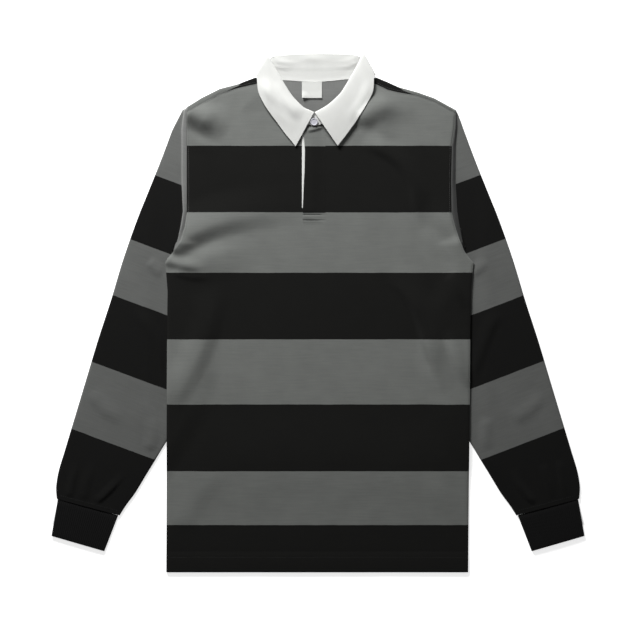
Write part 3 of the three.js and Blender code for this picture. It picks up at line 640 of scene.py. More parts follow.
# wide, low waves
frontSwell = table(
    "length turn height phase",
    (240, 0.5, 0.35, 0.4),
    (150, 1.9, 0.22, 2.1),
    (95, 2.7, 0.14, 4.0),
)
front = {
    "thickness": 1.2,
    "edgeWidth": 4.5,
    "edgeDrop": 1.1,
    "hemDrop": 0.9,
    "shoulderDrop": 0.5,
    "hemStitchY": (-369.5, -377.5),
    "stitchDepth": 0.45,
    "stitchWidth": 1.6,
    "spareFrom": 180,
    "spareOver": 60,
    "evenFrom": 215,  # from here up, and this near the collar, the wide waves run out
    "evenReach": 112,
}


def swell(x, y, waves):
    total = np.zeros_like(x)
    for wave in waves:
        along = x * math.cos(wave["turn"]) + y * math.sin(wave["turn"])
        total += wave["height"] * (0.5 + 0.5 * np.sin(2 * math.pi * along / wave["length"] + wave["phase"]))
    return total


def frontHeight(x, y):
    # the height of the front panel's outer face
    x, y = np.broadcast_arrays(np.asarray(x, float), np.asarray(y, float))
    flat = lift(x, y) + 2 * body["cloth"] + body["seamGap"]
    spare = body["neckSpare"] * ease((y - front["spareFrom"]) / front["spareOver"])
    nearCollar = ease((front["evenReach"] - np.abs(x - body["collarX"])) / 20)
    underCollar = ease((y - front["evenFrom"]) / 25) * nearCollar
    return flat + spare + sumFolds(frontFolds, x, y) + swell(x, y, frontSwell) * (1 - underCollar)


def groove(distance, depth, width):
    return depth * np.exp(-((distance / width) ** 2))


def hemRise(y):
    return body["hemExtra"] * ease((body["hemTop"] - y) / 2)


def frontPiece():
    x, y, inward = bodyGrid(lambda at: shoulderOr(frontNeck, at, "seam", 0.6, 0.0))
    z = frontHeight(x, y) + hemRise(y) - roundEdge(inward, front["edgeWidth"], front["edgeDrop"])
    z -= sum(groove(y - at, front["stitchDepth"], front["stitchWidth"]) for at in front["hemStitchY"])
    z -= front["hemDrop"] * (1 - ease((y - body["hemY"]) / 2.5))
    atShoulder = np.where(beside(frontNeck, x), 1 - ease((shoulderAt(x, "seam") - y) / 3), 0)
    z -= front["shoulderDrop"] * atShoulder
    piece = layerPiece("front_cloth", x, y, z, frontJersey, front["thickness"])
    declare(piece, "front_panel")


# Back panel: flat on the surface, wrapped forward over both shoulders

backFolds = foldTable(
    (0.35, 14, 20, [(-190, 60), (-150, 20), (-120, -50), (-100, -130)]),
    (0.3, 12, 22, [(180, 50), (140, 10), (120, -70)]),
    (0.35, 16, 20, [(-60, 240), (0, 220), (80, 236)]),
    (0.3, 12, 16, [(-110, -220), (-60, -250), (20, -240)]),
    (0.3, 14, 18, [(150, -180), (110, -250), (130, -330)]),
)
wrap = {
    "thickness": 1.4,
    "edgeWidth": 4.5,
    "edgeRise": 0.4,
    "turnRows": 8,
    "frontRows": 4,
    "flatEnd": 3.4,
    "neckStep": 0.05,  # at the neck nothing is wrapped, and the rows lie close together
    "clothOnTurn": 1.4,
    "stripeSlant": 0.0265,
    "underStripe": 6,
}


def backPiece():
    x, y, inward = bodyGrid(lambda at: shoulderOr(backNeck, at, "fold", wrap["flatEnd"], 0.3))
    z = lift(x, y) + body["cloth"] / 2 + sumFolds(backFolds, x, y)
    z += roundEdge(inward, wrap["edgeWidth"], wrap["edgeRise"])
    z += wrap["edgeRise"] * ease((body["hemTop"] - y) / 2)
    grid = np.dstack([x, y, z])
    edgeX, edgeY, edgeZ = grid[0].T
    fold, seam = shoulderAt(edgeX, "fold"), shoulderAt(edgeX, "seam")
    high = lift(edgeX, edgeY) + body["cloth"] * 1.5 + body["seamGap"] + body["neckSpare"]
    radius = (high - edgeZ) / 2
    centreY = fold - radius - body["cloth"] / 2
    atNeck = (edgeX > backNeck[0]["x"]) & (edgeX < backNeck[-1]["x"])
    turned, laidOut = [], []

    def addRow(rowY, rowZ, clothY):
        neckY = edgeY + wrap["neckStep"] * (len(turned) + 1)
        turned.append(np.stack([edgeX, np.where(atNeck, neckY, rowY), np.where(atNeck, edgeZ, rowZ)], 1))
        laidOut.append(np.stack([edgeX, clothY], 1))

    for k in range(1, wrap["turnRows"] + 1):
        share = k / wrap["turnRows"]
        angle = math.pi * (share - 0.5)
        rowY, rowZ = centreY + radius * math.cos(angle), (edgeZ + high) / 2 + radius * math.sin(angle)
        addRow(rowY, rowZ, edgeY + (fold - edgeY) * share * wrap["clothOnTurn"])
    for k in range(1, wrap["frontRows"] + 1):
        share = k / wrap["frontRows"]
        rowY = mix(centreY, np.minimum(seam + 0.2, centreY - 0.4), share)
        addRow(rowY, high - 0.25 * share**2, fold + (fold - seam) * share)
    uvs = np.concatenate([np.array(laidOut)[::-1], grid[..., :2]])
    u, v = uvs[..., 0], uvs[..., 1]
    v = v + wrap["stripeSlant"] * u * ease((v - 300) / 40)
    v = np.where((u > -86) & (u < 80), np.minimum(v, backTopStripe - wrap["underStripe"]), v)
    grid = np.concatenate([np.array(turned)[::-1], grid])
    cloth, jerseys = np.dstack([u, v]), [insideJersey, backJersey]
    piece = clothPiece("back_cloth", grid, cloth, jerseys, wrap["thickness"], offset=0.0, backSlot=1)
    declare(piece, "back_panel")


frontPiece()
backPiece()
print("body panels made")


# Sleeves: flattened tubes, with a raised fold of cloth beside each armhole

sleeve = {
    "thickness": 1.2,
    "puff": 1.5,
    "puffFrom": 240,
    "puffOver": 26,
    "foldHeight": 3.0,
    "bodyReach": 236,
    "rowsPerSection": 14,
    "across": 66,
    "below": 24,
    "wall": 3,
    "greyRowsLitShaded": 7,
    "lip": 0.05,  # the last section runs on over the cuff by this share of its distance from the one before
}
sleeveFolds = {
    "left": foldTable(
        (2.6, 12, 20, [(-288, 6), (-268, -14), (-252, -44), (-238, -82), (-228, -112)], (0.3, 0.3)),
        (1.6, 12, 16, [(-262, 82), (-250, 68), (-238, 60)]),
        (2.6, 6, 12, [(-345, -294), (-330, -282), (-312, -264), (-298, -246)], (0.25, 0.5)),
        (1.8, 8, 12, [(-384, -286), (-380, -262), (-372, -228)]),
        (1.5, 10, 14, [(-362, -290), (-358, -264), (-346, -230)]),
        (1.6, 14, 16, [(-262, -214), (-256, -188), (-262, -160)]),
        (1.4, 14, 20, [(-352, -120), (-330, -150), (-300, -168)]),
    ),
    "right": foldTable(
        (2.4, 12, 20, [(236, -104), (246, -78), (258, -44), (270, -16), (284, 4)], (0.3, 0.3)),
        (1.6, 12, 16, [(238, 62), (250, 70), (262, 84)]),
        (2.8, 6, 12, [(299, -240), (308, -262), (322, -282), (336, -296)], (0.5, 0.25)),
        (1.8, 8, 12, [(372, -226), (378, -260), (386, -288)]),
        (1.5, 10, 14, [(346, -232), (356, -262), (362, -290)]),
        (1.6, 14, 16, [(262, -160), (258, -190), (264, -214)]),
        (1.4, 14, 20, [(300, -166), (330, -148), (354, -118)]),
    ),
}
sleeveStrip = {
    # from the armhole seam to past the fold: place between them, offset and share of the fold's height
    "left": table(
        "blend offset extra",
        (0.0, 0.7, 0.0),
        (0.08, 0.8, 0.24),
        (0.2, 0.8, 0.4),
        (0.4, 0.6, 0.62),
        (0.6, 0.5, 0.84),
        (0.8, 0.3, 1.0),
        (0.92, 0.2, 0.96),
        (1.0, 0.5, 0.66),
        (1.0, 1.2, 0.25),
        (1.0, 2.4, 0.0),
    ),
    "right": table(
        "blend offset extra",
        (0.0, 0.7, 0.1),
        (0.06, 0.8, 0.75),
        (0.16, 0.8, 1.0),
        (0.34, 0.6, 0.94),
        (0.55, 0.5, 0.74),
        (0.75, 0.3, 0.5),
        (0.92, 0.2, 0.28),
        (1.0, 0.5, 0.12),
        (1.0, 1.2, 0.05),
        (1.0, 2.4, 0.0),
    ),
}
stripeTurn = {"left": (0.3486, 0.9373), "right": (-0.3584, 0.9336)}


def ringStations():
    # shares across the flattened tube: the outer edge, over the top, the inner edge and back below
    share = np.linspace(0, 1, sleeve["across"])
    top = 0.75 * share - 0.125 * np.cos(mix(0.09, math.pi - 0.09, share))
    top = (top - top[0]) / (top[-1] - top[0]) * 0.976 + 0.012
    bottom = np.linspace(0.985, 0.015, sleeve["below"])
    return np.concatenate([(0.003, 0.0, 0.003), top, (0.997, 1.0, 0.997), bottom])


def sectionLine(turn, row, u):
    outerX, outerY, innerX, innerY, bow = row
    return -turn * (mix(outerX, innerX, u) + bow * 4 * u * (1 - u)), mix(outerY, innerY, u)


def sleeveRings(side):
    # every ring: its line across the sleeve, from shares to x and y, and its share of the fold's height
    turn = -1 if side == "left" else 1
    strip, seams = sleeveStrip[side], armhole[side]
    ends = np.array([list(row.values()) for row in sleeveSections], float)
    ends[-1] += (ends[-1] - ends[-2]) * sleeve["lip"]

    def stripLine(row, u):
        capX = mix(abs(seams[0]["seam"]), abs(seams[0]["fold"]), row["blend"]) + row["offset"]
        y = mix(readTable(armCap[side], "x", capX, "y"), body["armholeBottom"], u)
        seam = np.minimum(tuck[side], np.abs(readTable(seams, "y", y, "seam")))
        fold = np.where(y > tuck["top"], np.abs(readTable(seams, "y", y, "fold")), seam + tuck["foldWidth"])
        return turn * (mix(seam, fold, row["blend"]) + row["offset"]), y

    def joiningLine(share, u):
        (fromX, fromY), (toX, toY) = stripLine(strip[-1], u), sectionLine(turn, ends[0], u)
        return mix(fromX, toX, share), mix(fromY, toY, share)

    rings = [(partial(stripLine, row), row["extra"]) for row in strip]
    rings += [(partial(joiningLine, k / 8), 0.0) for k in range(1, 8)]
    sections = smoothRows(ends, sleeve["rowsPerSection"])
    return rings + [(partial(sectionLine, turn, row), 0.0) for row in sections]


def sleeveHeightAt(side, x, y, u, extra):
    # the outer face: it is plain and low where the body lies over it
    high = body["sleeveHeight"]
    shown = ease((np.abs(x) - sleeve["puffFrom"]) / sleeve["puffOver"])
    puff = sleeve["puff"] * shown * np.sqrt(np.sin(math.pi * np.clip(u, 0, 1)))
    strip = sleeve["foldHeight"] * extra * ease((0.87 - u) / 0.14) * ease((u + 0.1) / 0.2)
    underBody = 1 - ease((y - 60) / 30)
    clear = np.where(underBody > 0, ease((np.abs(x) - sleeve["bodyReach"]) / 8), 1)
    folds = sumFolds(sleeveFolds[side], x, y) * clear
    return high + puff + strip + folds


def sleevePiece(side):
    stations = ringStations()
    wall, high, half = sleeve["wall"], body["sleeveHeight"], body["sleeveHeight"] / 2
    over = slice(wall, wall + sleeve["across"])
    a, b = stripeTurn[side]
    rows, cloth = [], []
    for line, extra in sleeveRings(side):
        x, y = line(stations)
        z = np.zeros(len(stations))
        z[over] = sleeveHeightAt(side, x[over], y[over], stations[over], extra)
        z[: over.start] = half * 0.35, half, min(z[over.start], high) * 0.82
        z[over.stop : over.stop + wall] = min(z[over.stop - 1], high) * 0.82, half, half * 0.35
        ring = np.stack([x, y, z], 1)
        if side == "right":
            ring = ring[::-1]
        rows.append(ring)
        cloth.append(np.stack([ring[:, 0] * b - ring[:, 1] * a, ring[:, 0] * a + ring[:, 1] * b], 1))
    grid, uvs = np.array(rows), np.array(cloth)
    # the strip rows take the fold jersey: grey with painted light on the left and painted shade on the right
    slots = np.repeat(np.arange(len(rows) - 1) < sleeve["greyRowsLitShaded"], len(stations))
    jerseys = [shadedSleeveJersey[side], foldJerseyLitShaded[side]]
    name, thickness = "sleeve_%s_cloth" % side, sleeve["thickness"]
    piece = clothPiece(name, grid, uvs, jerseys, thickness, closed=True, slots=slots)
    declare(piece, "sleeve_" + side)


for sleeveSide in ("left", "right"):
    sleevePiece(sleeveSide)
print("sleeves made")


# Cuffs: flattened tubes of rib knit

cuff = {
    "topOuter": (-402.8, -287.0),
    "topInner": (-309.4, -312.9),
    "endOuter": (-412.8, -344.6),
    "endInner": (-330.9, -368.3),
    "ribs": 29,
    "partsPerRib": 8,
    "rows": 16,
    "wall": 1.8,
    "height": 4.5,
    "ribHeight": 0.5,
}


def cuffPiece(side):
    turn = 1 if side == "left" else -1
    count = cuff["ribs"] * cuff["partsPerRib"]
    u = (np.arange(count) + 0.5) / count
    ribs = cuff["ribHeight"] * (0.5 - 0.5 * np.cos(2 * math.pi * u * cuff["ribs"])) ** 0.7
    rounding = 0.6 * np.sqrt(np.sin(math.pi * np.clip(u, 0.004, 0.996)))
    half = cuff["height"] / 2
    rows = []
    for along in np.linspace(0, 1, cuff["rows"] + 1):
        outer = mix(*np.array([cuff["topOuter"], cuff["endOuter"]]), along)
        inner = mix(*np.array([cuff["topInner"], cuff["endInner"]]), along)
        places = outer + (inner - outer) * mix(0.012, 0.988, u)[:, None]
        drop = 1.5 * (1 - ease(along / 0.08)) + 0.6 * ease((along - 0.95) / 0.05)
        upper = np.column_stack([places, cuff["height"] - 0.4 + rounding + ribs - drop])
        lower = np.column_stack([places[::-1], 0.25 - ribs[::-1] * 0.5])
        ring = np.concatenate([[[*outer, half]], upper, [[*inner, half]], lower]) * (turn, 1, 1)
        rows.append(ring[::turn])
    grid = np.array(rows)
    piece = clothPiece("cuff_%s_rib" % side, grid, grid[..., :2], [ribKnit], cuff["wall"], closed=True)
    declare(piece, "cuff_" + side)


for cuffSide in ("left", "right"):
    cuffPiece(cuffSide)
print("cuffs made")


# Collar: the leaf folds over the stand; each table runs from one front corner to the other

collarColumns = "foldX foldY foldZ edgeX edgeY edgeZ"
leafRows = {
    "left": table(
        collarColumns,
        (-6.6, 309.5, 11.0, -34.7, 258.4, 5.6),
        (-14.0, 313.0, 11.0, -42.0, 267.6, 5.8),
        (-23.3, 317.6, 11.0, -50.0, 277.3, 6.0),
        (-38.8, 333.1, 10.6, -63.6, 295.9, 6.4),
        (-49.0, 348.0, 10.2, -75.0, 311.0, 7.0),
        (-58.9, 364.1, 9.8, -84.4, 325.5, 7.8),
        (-67.0, 378.0, 9.4, -92.4, 344.0, 8.1),
        (-76.6, 396.0, 9.0, -94.6, 366.0, 8.0),
    ),
    "back": table(
        collarColumns,
        (-75.0, 393.6, 4.4, -93.0, 367.0, 0.9),
        (-66.0, 397.2, 4.2, -75.0, 345.0, 0.9),
        (-43.4, 399.3, 4.2, -48.0, 342.0, 0.9),
        (-20.0, 400.1, 4.2, -22.0, 341.0, 0.9),
        (3.0, 400.4, 4.2, 3.0, 341.0, 0.9),
        (24.0, 400.1, 4.2, 25.0, 341.0, 0.9),
        (42.0, 399.7, 4.2, 45.0, 342.0, 0.9),
        (58.0, 398.4, 4.2, 67.0, 345.0, 0.9),
        (67.0, 395.0, 4.4, 84.6, 367.0, 0.9),
    ),
    "right": table(
        collarColumns,
        (69.0, 399.6, 9.0, 86.6, 367.0, 8.0),
        (60.5, 381.0, 9.4, 85.0, 344.0, 8.1),
        (52.7, 367.2, 9.8, 76.5, 325.5, 7.8),
        (43.0, 351.0, 10.2, 67.0, 309.5, 7.0),
        (34.1, 337.7, 10.6, 57.0, 294.5, 6.4),
        (17.0, 322.0, 11.0, 44.0, 276.5, 6.0),
        (5.0, 314.5, 11.0, 37.0, 267.6, 5.8),
        (-4.6, 309.5, 11.0, 30.4, 259.0, 5.6),
    ),
}
standRows = {
    "left": table(
        collarColumns,
        (-6.6, 305.6, 8.3, -6.6, 289.5, 6.2),
        (-16.0, 309.0, 8.4, -19.5, 293.4, 6.2),
        (-27.0, 316.0, 8.4, -32.0, 298.2, 3.8),
        (-42.0, 330.5, 8.0, -54.5, 315.2, 3.8),
        (-52.5, 346.0, 7.6, -71.5, 337.0, 5.3),
        (-62.0, 361.0, 7.2, -80.5, 349.2, 5.4),
        (-69.0, 374.0, 6.8, -86.0, 359.2, 5.4),
        (-74.0, 384.0, 6.2, -85.6, 366.0, 5.0),
    ),
    "back": table(
        collarColumns,
        (-73.0, 393.6, 5.0, -84.0, 366.4, 3.3),
        (-65.0, 396.6, 5.8, -72.0, 362.0, 3.2),
        (-43.4, 400.0, 5.9, -48.0, 360.6, 3.2),
        (-20.0, 401.0, 5.9, -22.0, 358.8, 3.2),
        (3.0, 401.4, 5.9, 3.0, 358.7, 3.2),
        (24.0, 401.0, 5.9, 25.0, 360.1, 3.2),
        (42.0, 400.6, 5.9, 45.0, 362.3, 3.2),
        (57.0, 399.4, 5.8, 66.0, 363.2, 3.2),
        (66.4, 396.0, 5.0, 76.0, 366.8, 3.3),
    ),
    "right": table(
        collarColumns,
        (66.0, 385.6, 6.2, 77.6, 366.4, 5.0),
        (62.6, 377.0, 6.8, 79.0, 359.6, 5.4),
        (55.6, 364.0, 7.2, 72.6, 349.2, 5.4),
        (46.0, 348.6, 7.6, 63.0, 337.0, 5.3),
        (37.0, 334.6, 8.0, 44.0, 315.2, 3.8),
        (20.0, 318.6, 8.4, 22.0, 299.0, 3.8),
        (5.0, 310.0, 8.4, 8.5, 293.6, 6.2),
        (-5.2, 305.6, 8.3, -5.2, 289.5, 6.2),
    ),
}
collar = {
    "across": (-0.014, -0.010, 0, 0.05, 0.14, 0.34, 0.56, 0.78, 1),
    "wingFall": (0.70, 0.88, 0.98, 1.0, 0.95, 0.78, 0.52, 0.25, 0),
    "wingLift": {"left": 0.8, "right": 2.6},
    "backFall": (0.9, 1.0, 1, 0.1, 0, 0, 0, 0, 0),
    "standAcross": (0, 0.2, 0.4, 0.6, 0.8, 1),
    "standFall": (1, 0.85, 0.65, 0.44, 0.2, 0),
    "rollSteps": 4,
    "clearance": 0.35,
    "leafThickness": 1.6,
    "standThickness": 1.5,
}
leafFolds = foldTable(
    (2.6, 14, 18, [(-94, 366), (-82, 350), (-66, 334), (-48, 319), (-34, 309), (-22, 305)], (0.35, 0.3)),
    (2.0, 16, 12, [(-84, 366), (-76, 340), (-64, 316), (-46, 296), (-30, 284)]),
    (1.2, 9, 10, [(-66, 360), (-55, 338), (-42, 320), (-28, 306)]),
    (1.2, 12, 14, [(80, 362), (72, 336), (56, 312), (42, 296)]),
)
standFolds = foldTable(
    (1.3, 4, 7, [(-76, 398), (-66, 393), (-56, 388), (-42, 386), (-26, 387)], (0.2, 0.5)),
    (0.9, 5, 8, [(-70, 384), (-56, 380), (-38, 379)], (0.2, 0.5)),
    (1.1, 4, 7, [(26, 388), (44, 389), (58, 394), (68, 399)], (0.5, 0.2)),
    (0.8, 5, 7, [(30, 381), (46, 382), (60, 387)], (0.5, 0.2)),
    (0.5, 6, 10, [(-30, 393), (-4, 391), (24, 394)]),
    (1.0, 3, 5, [(-74, 391), (-66, 388), (-57, 386)], (0.3, 0.3)),
    (0.6, 4, 5, [(-20, 397), (-8, 395), (6, 396)]),
    (0.8, 3, 5, [(48, 385), (58, 387), (66, 392)], (0.3, 0.3)),
)


def collarRow(row, across, fall):
    a, f = np.array(across), np.array(fall)
    x, y = mix(row["foldX"], row["edgeX"], a), mix(row["foldY"], row["edgeY"], a)
    return np.column_stack([x, y, mix(row["edgeZ"], row["foldZ"], f)])


def rollRows(a, b, outward):
    # the cloth turns round from one row to the next, bulging sideways
    rows = []
    for angle in np.linspace(0, math.pi, collar["rollSteps"] + 1)[1:-1]:
        row = mix(a, b, (1 - math.cos(angle)) / 2)
        row[:, :2] += np.outer(np.abs(a[:, 2] - b[:, 2]) / 2 * math.sin(angle), outward)
        rows.append(row)
    return rows


def collarGrid(rows, across, wingFall, backFall):
    left, back, right = (
        [collarRow(row, across, fall) for row in rows[part]]
        for part, fall in (("left", wingFall), ("back", backFall), ("right", wingFall))
    )
    leftRoll = rollRows(left[-1], back[0], (-0.81, 0.58))
    rightRoll = rollRows(back[-1], right[0], (0.81, 0.58))
    fine = smoothRows(np.array([*left, *leftRoll, *back, *rightRoll, *right]), 5)
    return np.swapaxes(smoothRows(np.swapaxes(fine, 0, 1), 3), 0, 1)


def clothPlaces(grid):
    # the cloth's own lengths, along and across a grid
    along, across = np.zeros(grid.shape[:2]), np.zeros(grid.shape[:2])
    along[1:] = np.cumsum(np.linalg.norm(np.diff(grid, axis=0), axis=2), axis=0)
    across[:, 1:] = np.cumsum(np.linalg.norm(np.diff(grid, axis=1), axis=2), axis=1)
    middle = along[:, along.shape[1] // 2]
    return np.dstack([np.repeat(middle[:, None], grid.shape[1], 1), across])


def makeLeafGrid():
    # the wings are lifted toward their free edges, and stay clear of the front
    grid = collarGrid(leafRows, collar["across"], collar["wingFall"], collar["backFall"])
    x, y, z = np.moveaxis(grid, 2, 0)
    towardEdge = np.linspace(0, 1, grid.shape[1])[None, :]
    wingLift = np.where(x < -5, collar["wingLift"]["left"], collar["wingLift"]["right"])
    raised = z + wingLift * ease(towardEdge) + sumFolds(leafFolds, x, y)
    resting = frontHeight(x, y) + collar["leafThickness"] / 2 + collar["clearance"]
    grid[..., 2] = np.where(z > 4.9, np.maximum(raised, resting), z)
    return grid


leafGrid = makeLeafGrid()


def leafPiece():
    cloth, thickness = clothPlaces(leafGrid), collar["leafThickness"]
    piece = clothPiece("collar_leaf_cloth", leafGrid, cloth, [collarTwill], thickness, offset=0.0)
    declare(piece, "collar_leaf")


def standSeam(x):
    return 376.5 + 0.0009 * (x - body["collarX"]) ** 2


def standPiece():
    fall, thickness = collar["standFall"], collar["standThickness"]
    grid = collarGrid(standRows, collar["standAcross"], fall, fall)
    x, y = grid[..., 0], grid[..., 1]
    behind = (y > 355) & (np.abs(x - body["collarX"]) < 62)
    neckY = readTable(backNeck, "x", x, "y")
    grid[..., 2] += np.where(behind, 0.3 * ease((y - standSeam(x)) / 2.4 + 0.5), 0)
    grid[..., 2] += np.where(y > 372, sumFolds(standFolds, x, y), 0)
    grid[..., 2] += np.where(behind, groove(y - neckY - 1.2, 0.5, 1.4), 0)
    cloth = clothPlaces(grid)
    piece = clothPiece("collar_stand_cloth", grid, cloth, [collarTwill], thickness, offset=0.0)
    declare(piece, "collar_stand")


leafPiece()
standPiece()
print("collar made")


# Placket: a striped fly over a white facing

placket = {
    "top": 288.8,
    "bottom": 137.8,
    "rightX": 11.6,
    "facingLeftX": -24.8,
    "facingRightX": 1.0,
    "facingTop": 288.0,
    "facingBottom": 163.0,
    "facingThickness": 1.0,
    "flyThickness": 1.3,
    "gap": 0.3,
    "boxStitchY": (152.4, 143.9),
    "boxX": (-23.0, 10.5),
    "taper": 25.0,
    "footTaper": 12.0,
    "seamStep": 0.12,
}
flyFolds = foldTable((1.9, 5, 6, [(-18, 282), (-5, 285), (10, 290)], (0.3, 0.3)))
flyEdge = table(
    "y x",
    (288.8, -22.0),
    (276, -22.0),
    (252, -20.2),
    (221, -20.8),
    (206, -21.7),
    (183, -22.6),
    (162, -23.6),
    (137.8, -24.0),
)


def stripGrid(top, bottom, left, right, across=26, cell=1.6):
    # places of a strip, whose sides are numbers or functions of y, and how far each is from a side
    u, y = np.meshgrid(np.linspace(0, 1, across), np.linspace(top, bottom, int((top - bottom) / cell) + 1))
    left, right = (side(y) if callable(side) else y * 0 + side for side in (left, right))
    return mix(left, right, u), y, np.minimum(u, 1 - u) * (right - left)


def flyHeight(x, y):
    # it lies over the facing, and runs out into the front at its right edge and its foot
    overFacing = ease((y - (placket["facingBottom"] - 12)) / 10)
    facing = placket["facingThickness"] + placket["gap"]
    above = placket["gap"] + overFacing * facing + placket["flyThickness"]
    toRight = ease((x - placket["rightX"] + placket["taper"]) / placket["taper"])
    toFoot = ease((placket["bottom"] + placket["footTaper"] - y) / placket["footTaper"])
    return frontHeight(x, y) + mix(above, placket["seamStep"], np.maximum(toRight, toFoot))


def flyPiece():
    edge = partial(readTable, flyEdge, "y", value="x")
    x, y, _ = stripGrid(placket["top"], placket["bottom"], edge, placket["rightX"], cell=0.7)
    z = flyHeight(x, y) - roundEdge(x - x.min(1, keepdims=True), 2, 0.4) + sumFolds(flyFolds, x, y)
    low, high = placket["boxX"]
    for at in placket["boxStitchY"]:
        z -= np.where((x > low) & (x < high), groove(y - at, 0.7, 0.75), 0)
    piece = layerPiece("placket_fly_cloth", x, y, z, frontJersey, 1.1, clothShift=0.8)
    declare(piece, "placket_fly")


def facingPiece():
    # it runs out under the fly
    left, right = placket["facingLeftX"], placket["facingRightX"]
    x, y, inward = stripGrid(placket["facingTop"], placket["facingBottom"], left, right)
    sunk = ease((x - left - 9) / 18)
    z = frontHeight(x, y) + (placket["gap"] + placket["facingThickness"]) * (1 - 0.85 * sunk)
    z -= roundEdge(inward, 1.5, 0.3)
    piece = layerPiece("placket_facing_cloth", x, y, z, collarTwill, 0.8)
    declare(piece, "placket_facing")


flyPiece()
facingPiece()
print("placket made")


# Neck label, blank, with one corner curled up

label = {
    "left": -24.8,
    "right": 6.2,
    "top": 358.4,
    "bottom": 333.2,
    "gap": 0.5,
    "thickness": 0.7,
    "curl": 2.2,
    "curlReach": 13,
}


def labelHeight(x, y):
    corner = ease(1 - np.hypot(x - label["left"], y - label["bottom"]) / label["curlReach"])
    high = body["cloth"] + label["gap"] + label["thickness"]
    return lift(x, y) + high + label["curl"] * corner + 0.5 * ease((344 - y) / 12)


def labelPiece():
    x, y, inward = stripGrid(label["top"], label["bottom"], label["left"], label["right"], 28, 1.0)
    z = labelHeight(x, y) - roundEdge(inward, 1.2, 0.25)
    piece = layerPiece("neck_label_cloth", x, y, z, labelWeave, label["thickness"])
    declare(piece, "neck_label")


labelPiece()


# Neck button: a rimmed disc

button = {
    "place": (-6.0, 296.0, 8.4),
    "tilt": 0.13,
    "radius": 5.7,
    "thickness": 2.4,
    "insets": ((0.2, 0), (0.1, -0.22), (0.25, 0)),  # width as a share of the radius, depth of the thickness
    "look": {
        "roughness": 0.38,
        "specular": 0.5,
        "scale": 420,
        "spread": 0.06,
        "distance": 0.00005,
        "strength": 0.4,
    },
}


def buttonPiece():
    radius, thickness = button["radius"] * mm, button["thickness"] * mm
    bpy.ops.object.select_all(action="DESELECT")
    middle = (0, 0, thickness / 2)
    bpy.ops.mesh.primitive_cylinder_add(vertices=48, radius=radius, depth=thickness, location=middle)
    piece = bpy.context.object
    piece.name = "button"
    bpy.ops.object.transform_apply(location=True, rotation=True, scale=True)
    bpy.ops.object.mode_set(mode="EDIT")
    bpy.ops.mesh.select_mode(type="FACE")
    bpy.ops.mesh.select_all(action="DESELECT")
    bpy.ops.object.mode_set(mode="OBJECT")
    for face in piece.data.polygons:
        face.select = face.normal.z > 0.9
    bpy.ops.object.mode_set(mode="EDIT")
    for width, depth in button["insets"]:
        bpy.ops.mesh.inset(thickness=radius * width, depth=thickness * depth)
    bpy.ops.object.mode_set(mode="OBJECT")
    limits = {"limit_method": "ANGLE", "angle_limit": math.radians(30)}
    applyModifier(piece, "BEVEL", width=0.0004, segments=3, **limits)
    piece.data.materials.append(grainMaterial("button", finish["button"], **button["look"]))
    smoothShading(piece, 35)
    piece.location = [size * mm for size in button["place"]]
    piece.rotation_euler = (button["tilt"], 0, 0)
    selectOnly(piece)
    bpy.ops.object.transform_apply(location=True, rotation=True, scale=True)
    declare(piece, "neck_button")


buttonPiece()
print("label and button made")


# Stitching: one stitch is modelled, and copied along every seam

stitch = {"length": 2.2, "pitch": 3.1, "width": 0.42, "height": 0.32}


def oneStitch():
    bpy.ops.object.select_all(action="DESELECT")
    bpy.ops.mesh.primitive_uv_sphere_add(segments=6, ring_count=4, radius=0.5)
    piece = bpy.context.object
    bpy.ops.object.mode_set(mode="EDIT")
    bpy.ops.mesh.select_all(action="SELECT")
    bpy.ops.transform.rotate(value=math.radians(90), orient_axis="Y", center_override=(0, 0, 0))
    bpy.ops.transform.resize(value=(stitch["length"], stitch["width"], stitch["height"]))
    bpy.ops.object.mode_set(mode="OBJECT")
    points = np.array([v.co[:] for v in piece.data.vertices])
    faces = [tuple(p.vertices) for p in piece.data.polygons]
    mesh = piece.data
    bpy.data.objects.remove(piece)
    bpy.data.meshes.remove(mesh)
    return points, faces


stitchPoints, stitchFaces = oneStitch()


def stitchPiece(name, lines, material, pitch=stitch["pitch"]):
    own = stitchPoints * (pitch / stitch["pitch"], 1, 1)
    points, faces = [], []
    for line in lines:
        line = np.asarray(line, float)
        length = np.concatenate([[0], np.cumsum(np.linalg.norm(np.diff(line, axis=0), axis=1))])
        count = max(2, int(length[-1] / pitch))
        centres = (np.arange(count) + 0.5) * length[-1] / count
        place, ahead, behind = (
            np.stack([np.interp(centres + shift, length, column) for column in line.T], 1)
            for shift in (0, 1, -1)
        )
        for centre, direction in zip(place, ahead - behind):
            forward = direction / np.linalg.norm(direction)
            sideways = np.cross((0, 0, 1), forward)
            sideways /= np.linalg.norm(sideways)
            upward = np.cross(forward, sideways)
            faces.extend(tuple(len(points) + i for i in face) for face in stitchFaces)
            points.extend(centre + own @ np.array([forward, sideways, upward]))
    piece = meshPiece(name, np.array(points), faces, np.array(points)[:, :2], [material])
    smoothShading(piece, 60)
    declare(piece)


def path(x, y, z):
    return np.column_stack(np.broadcast_arrays(x, y, z))


def hemLine(y):
    x = np.linspace(-232, 230, 80)
    return path(x, y, frontHeight(x, y) + hemRise(y) - 0.3)


def armholeLine(side, inset):
    y = np.linspace(306, 92, 60)
    x = readTable(armhole[side], "y", y, "seam") + (inset if side == "left" else -inset)
    return path(x, y, frontHeight(x, y) + 0.1)


def shoulderLine(side, inset):
    x = np.linspace(*((-198, -96) if side == "left" else (92, 208)), 40)
    y = shoulderAt(x, "seam") + inset
    onBack = lift(x, y) + body["cloth"] * 2 + body["seamGap"] + body["neckSpare"] - 0.05
    return path(x, y, onBack if inset > 0 else frontHeight(x, y) + 0.05)


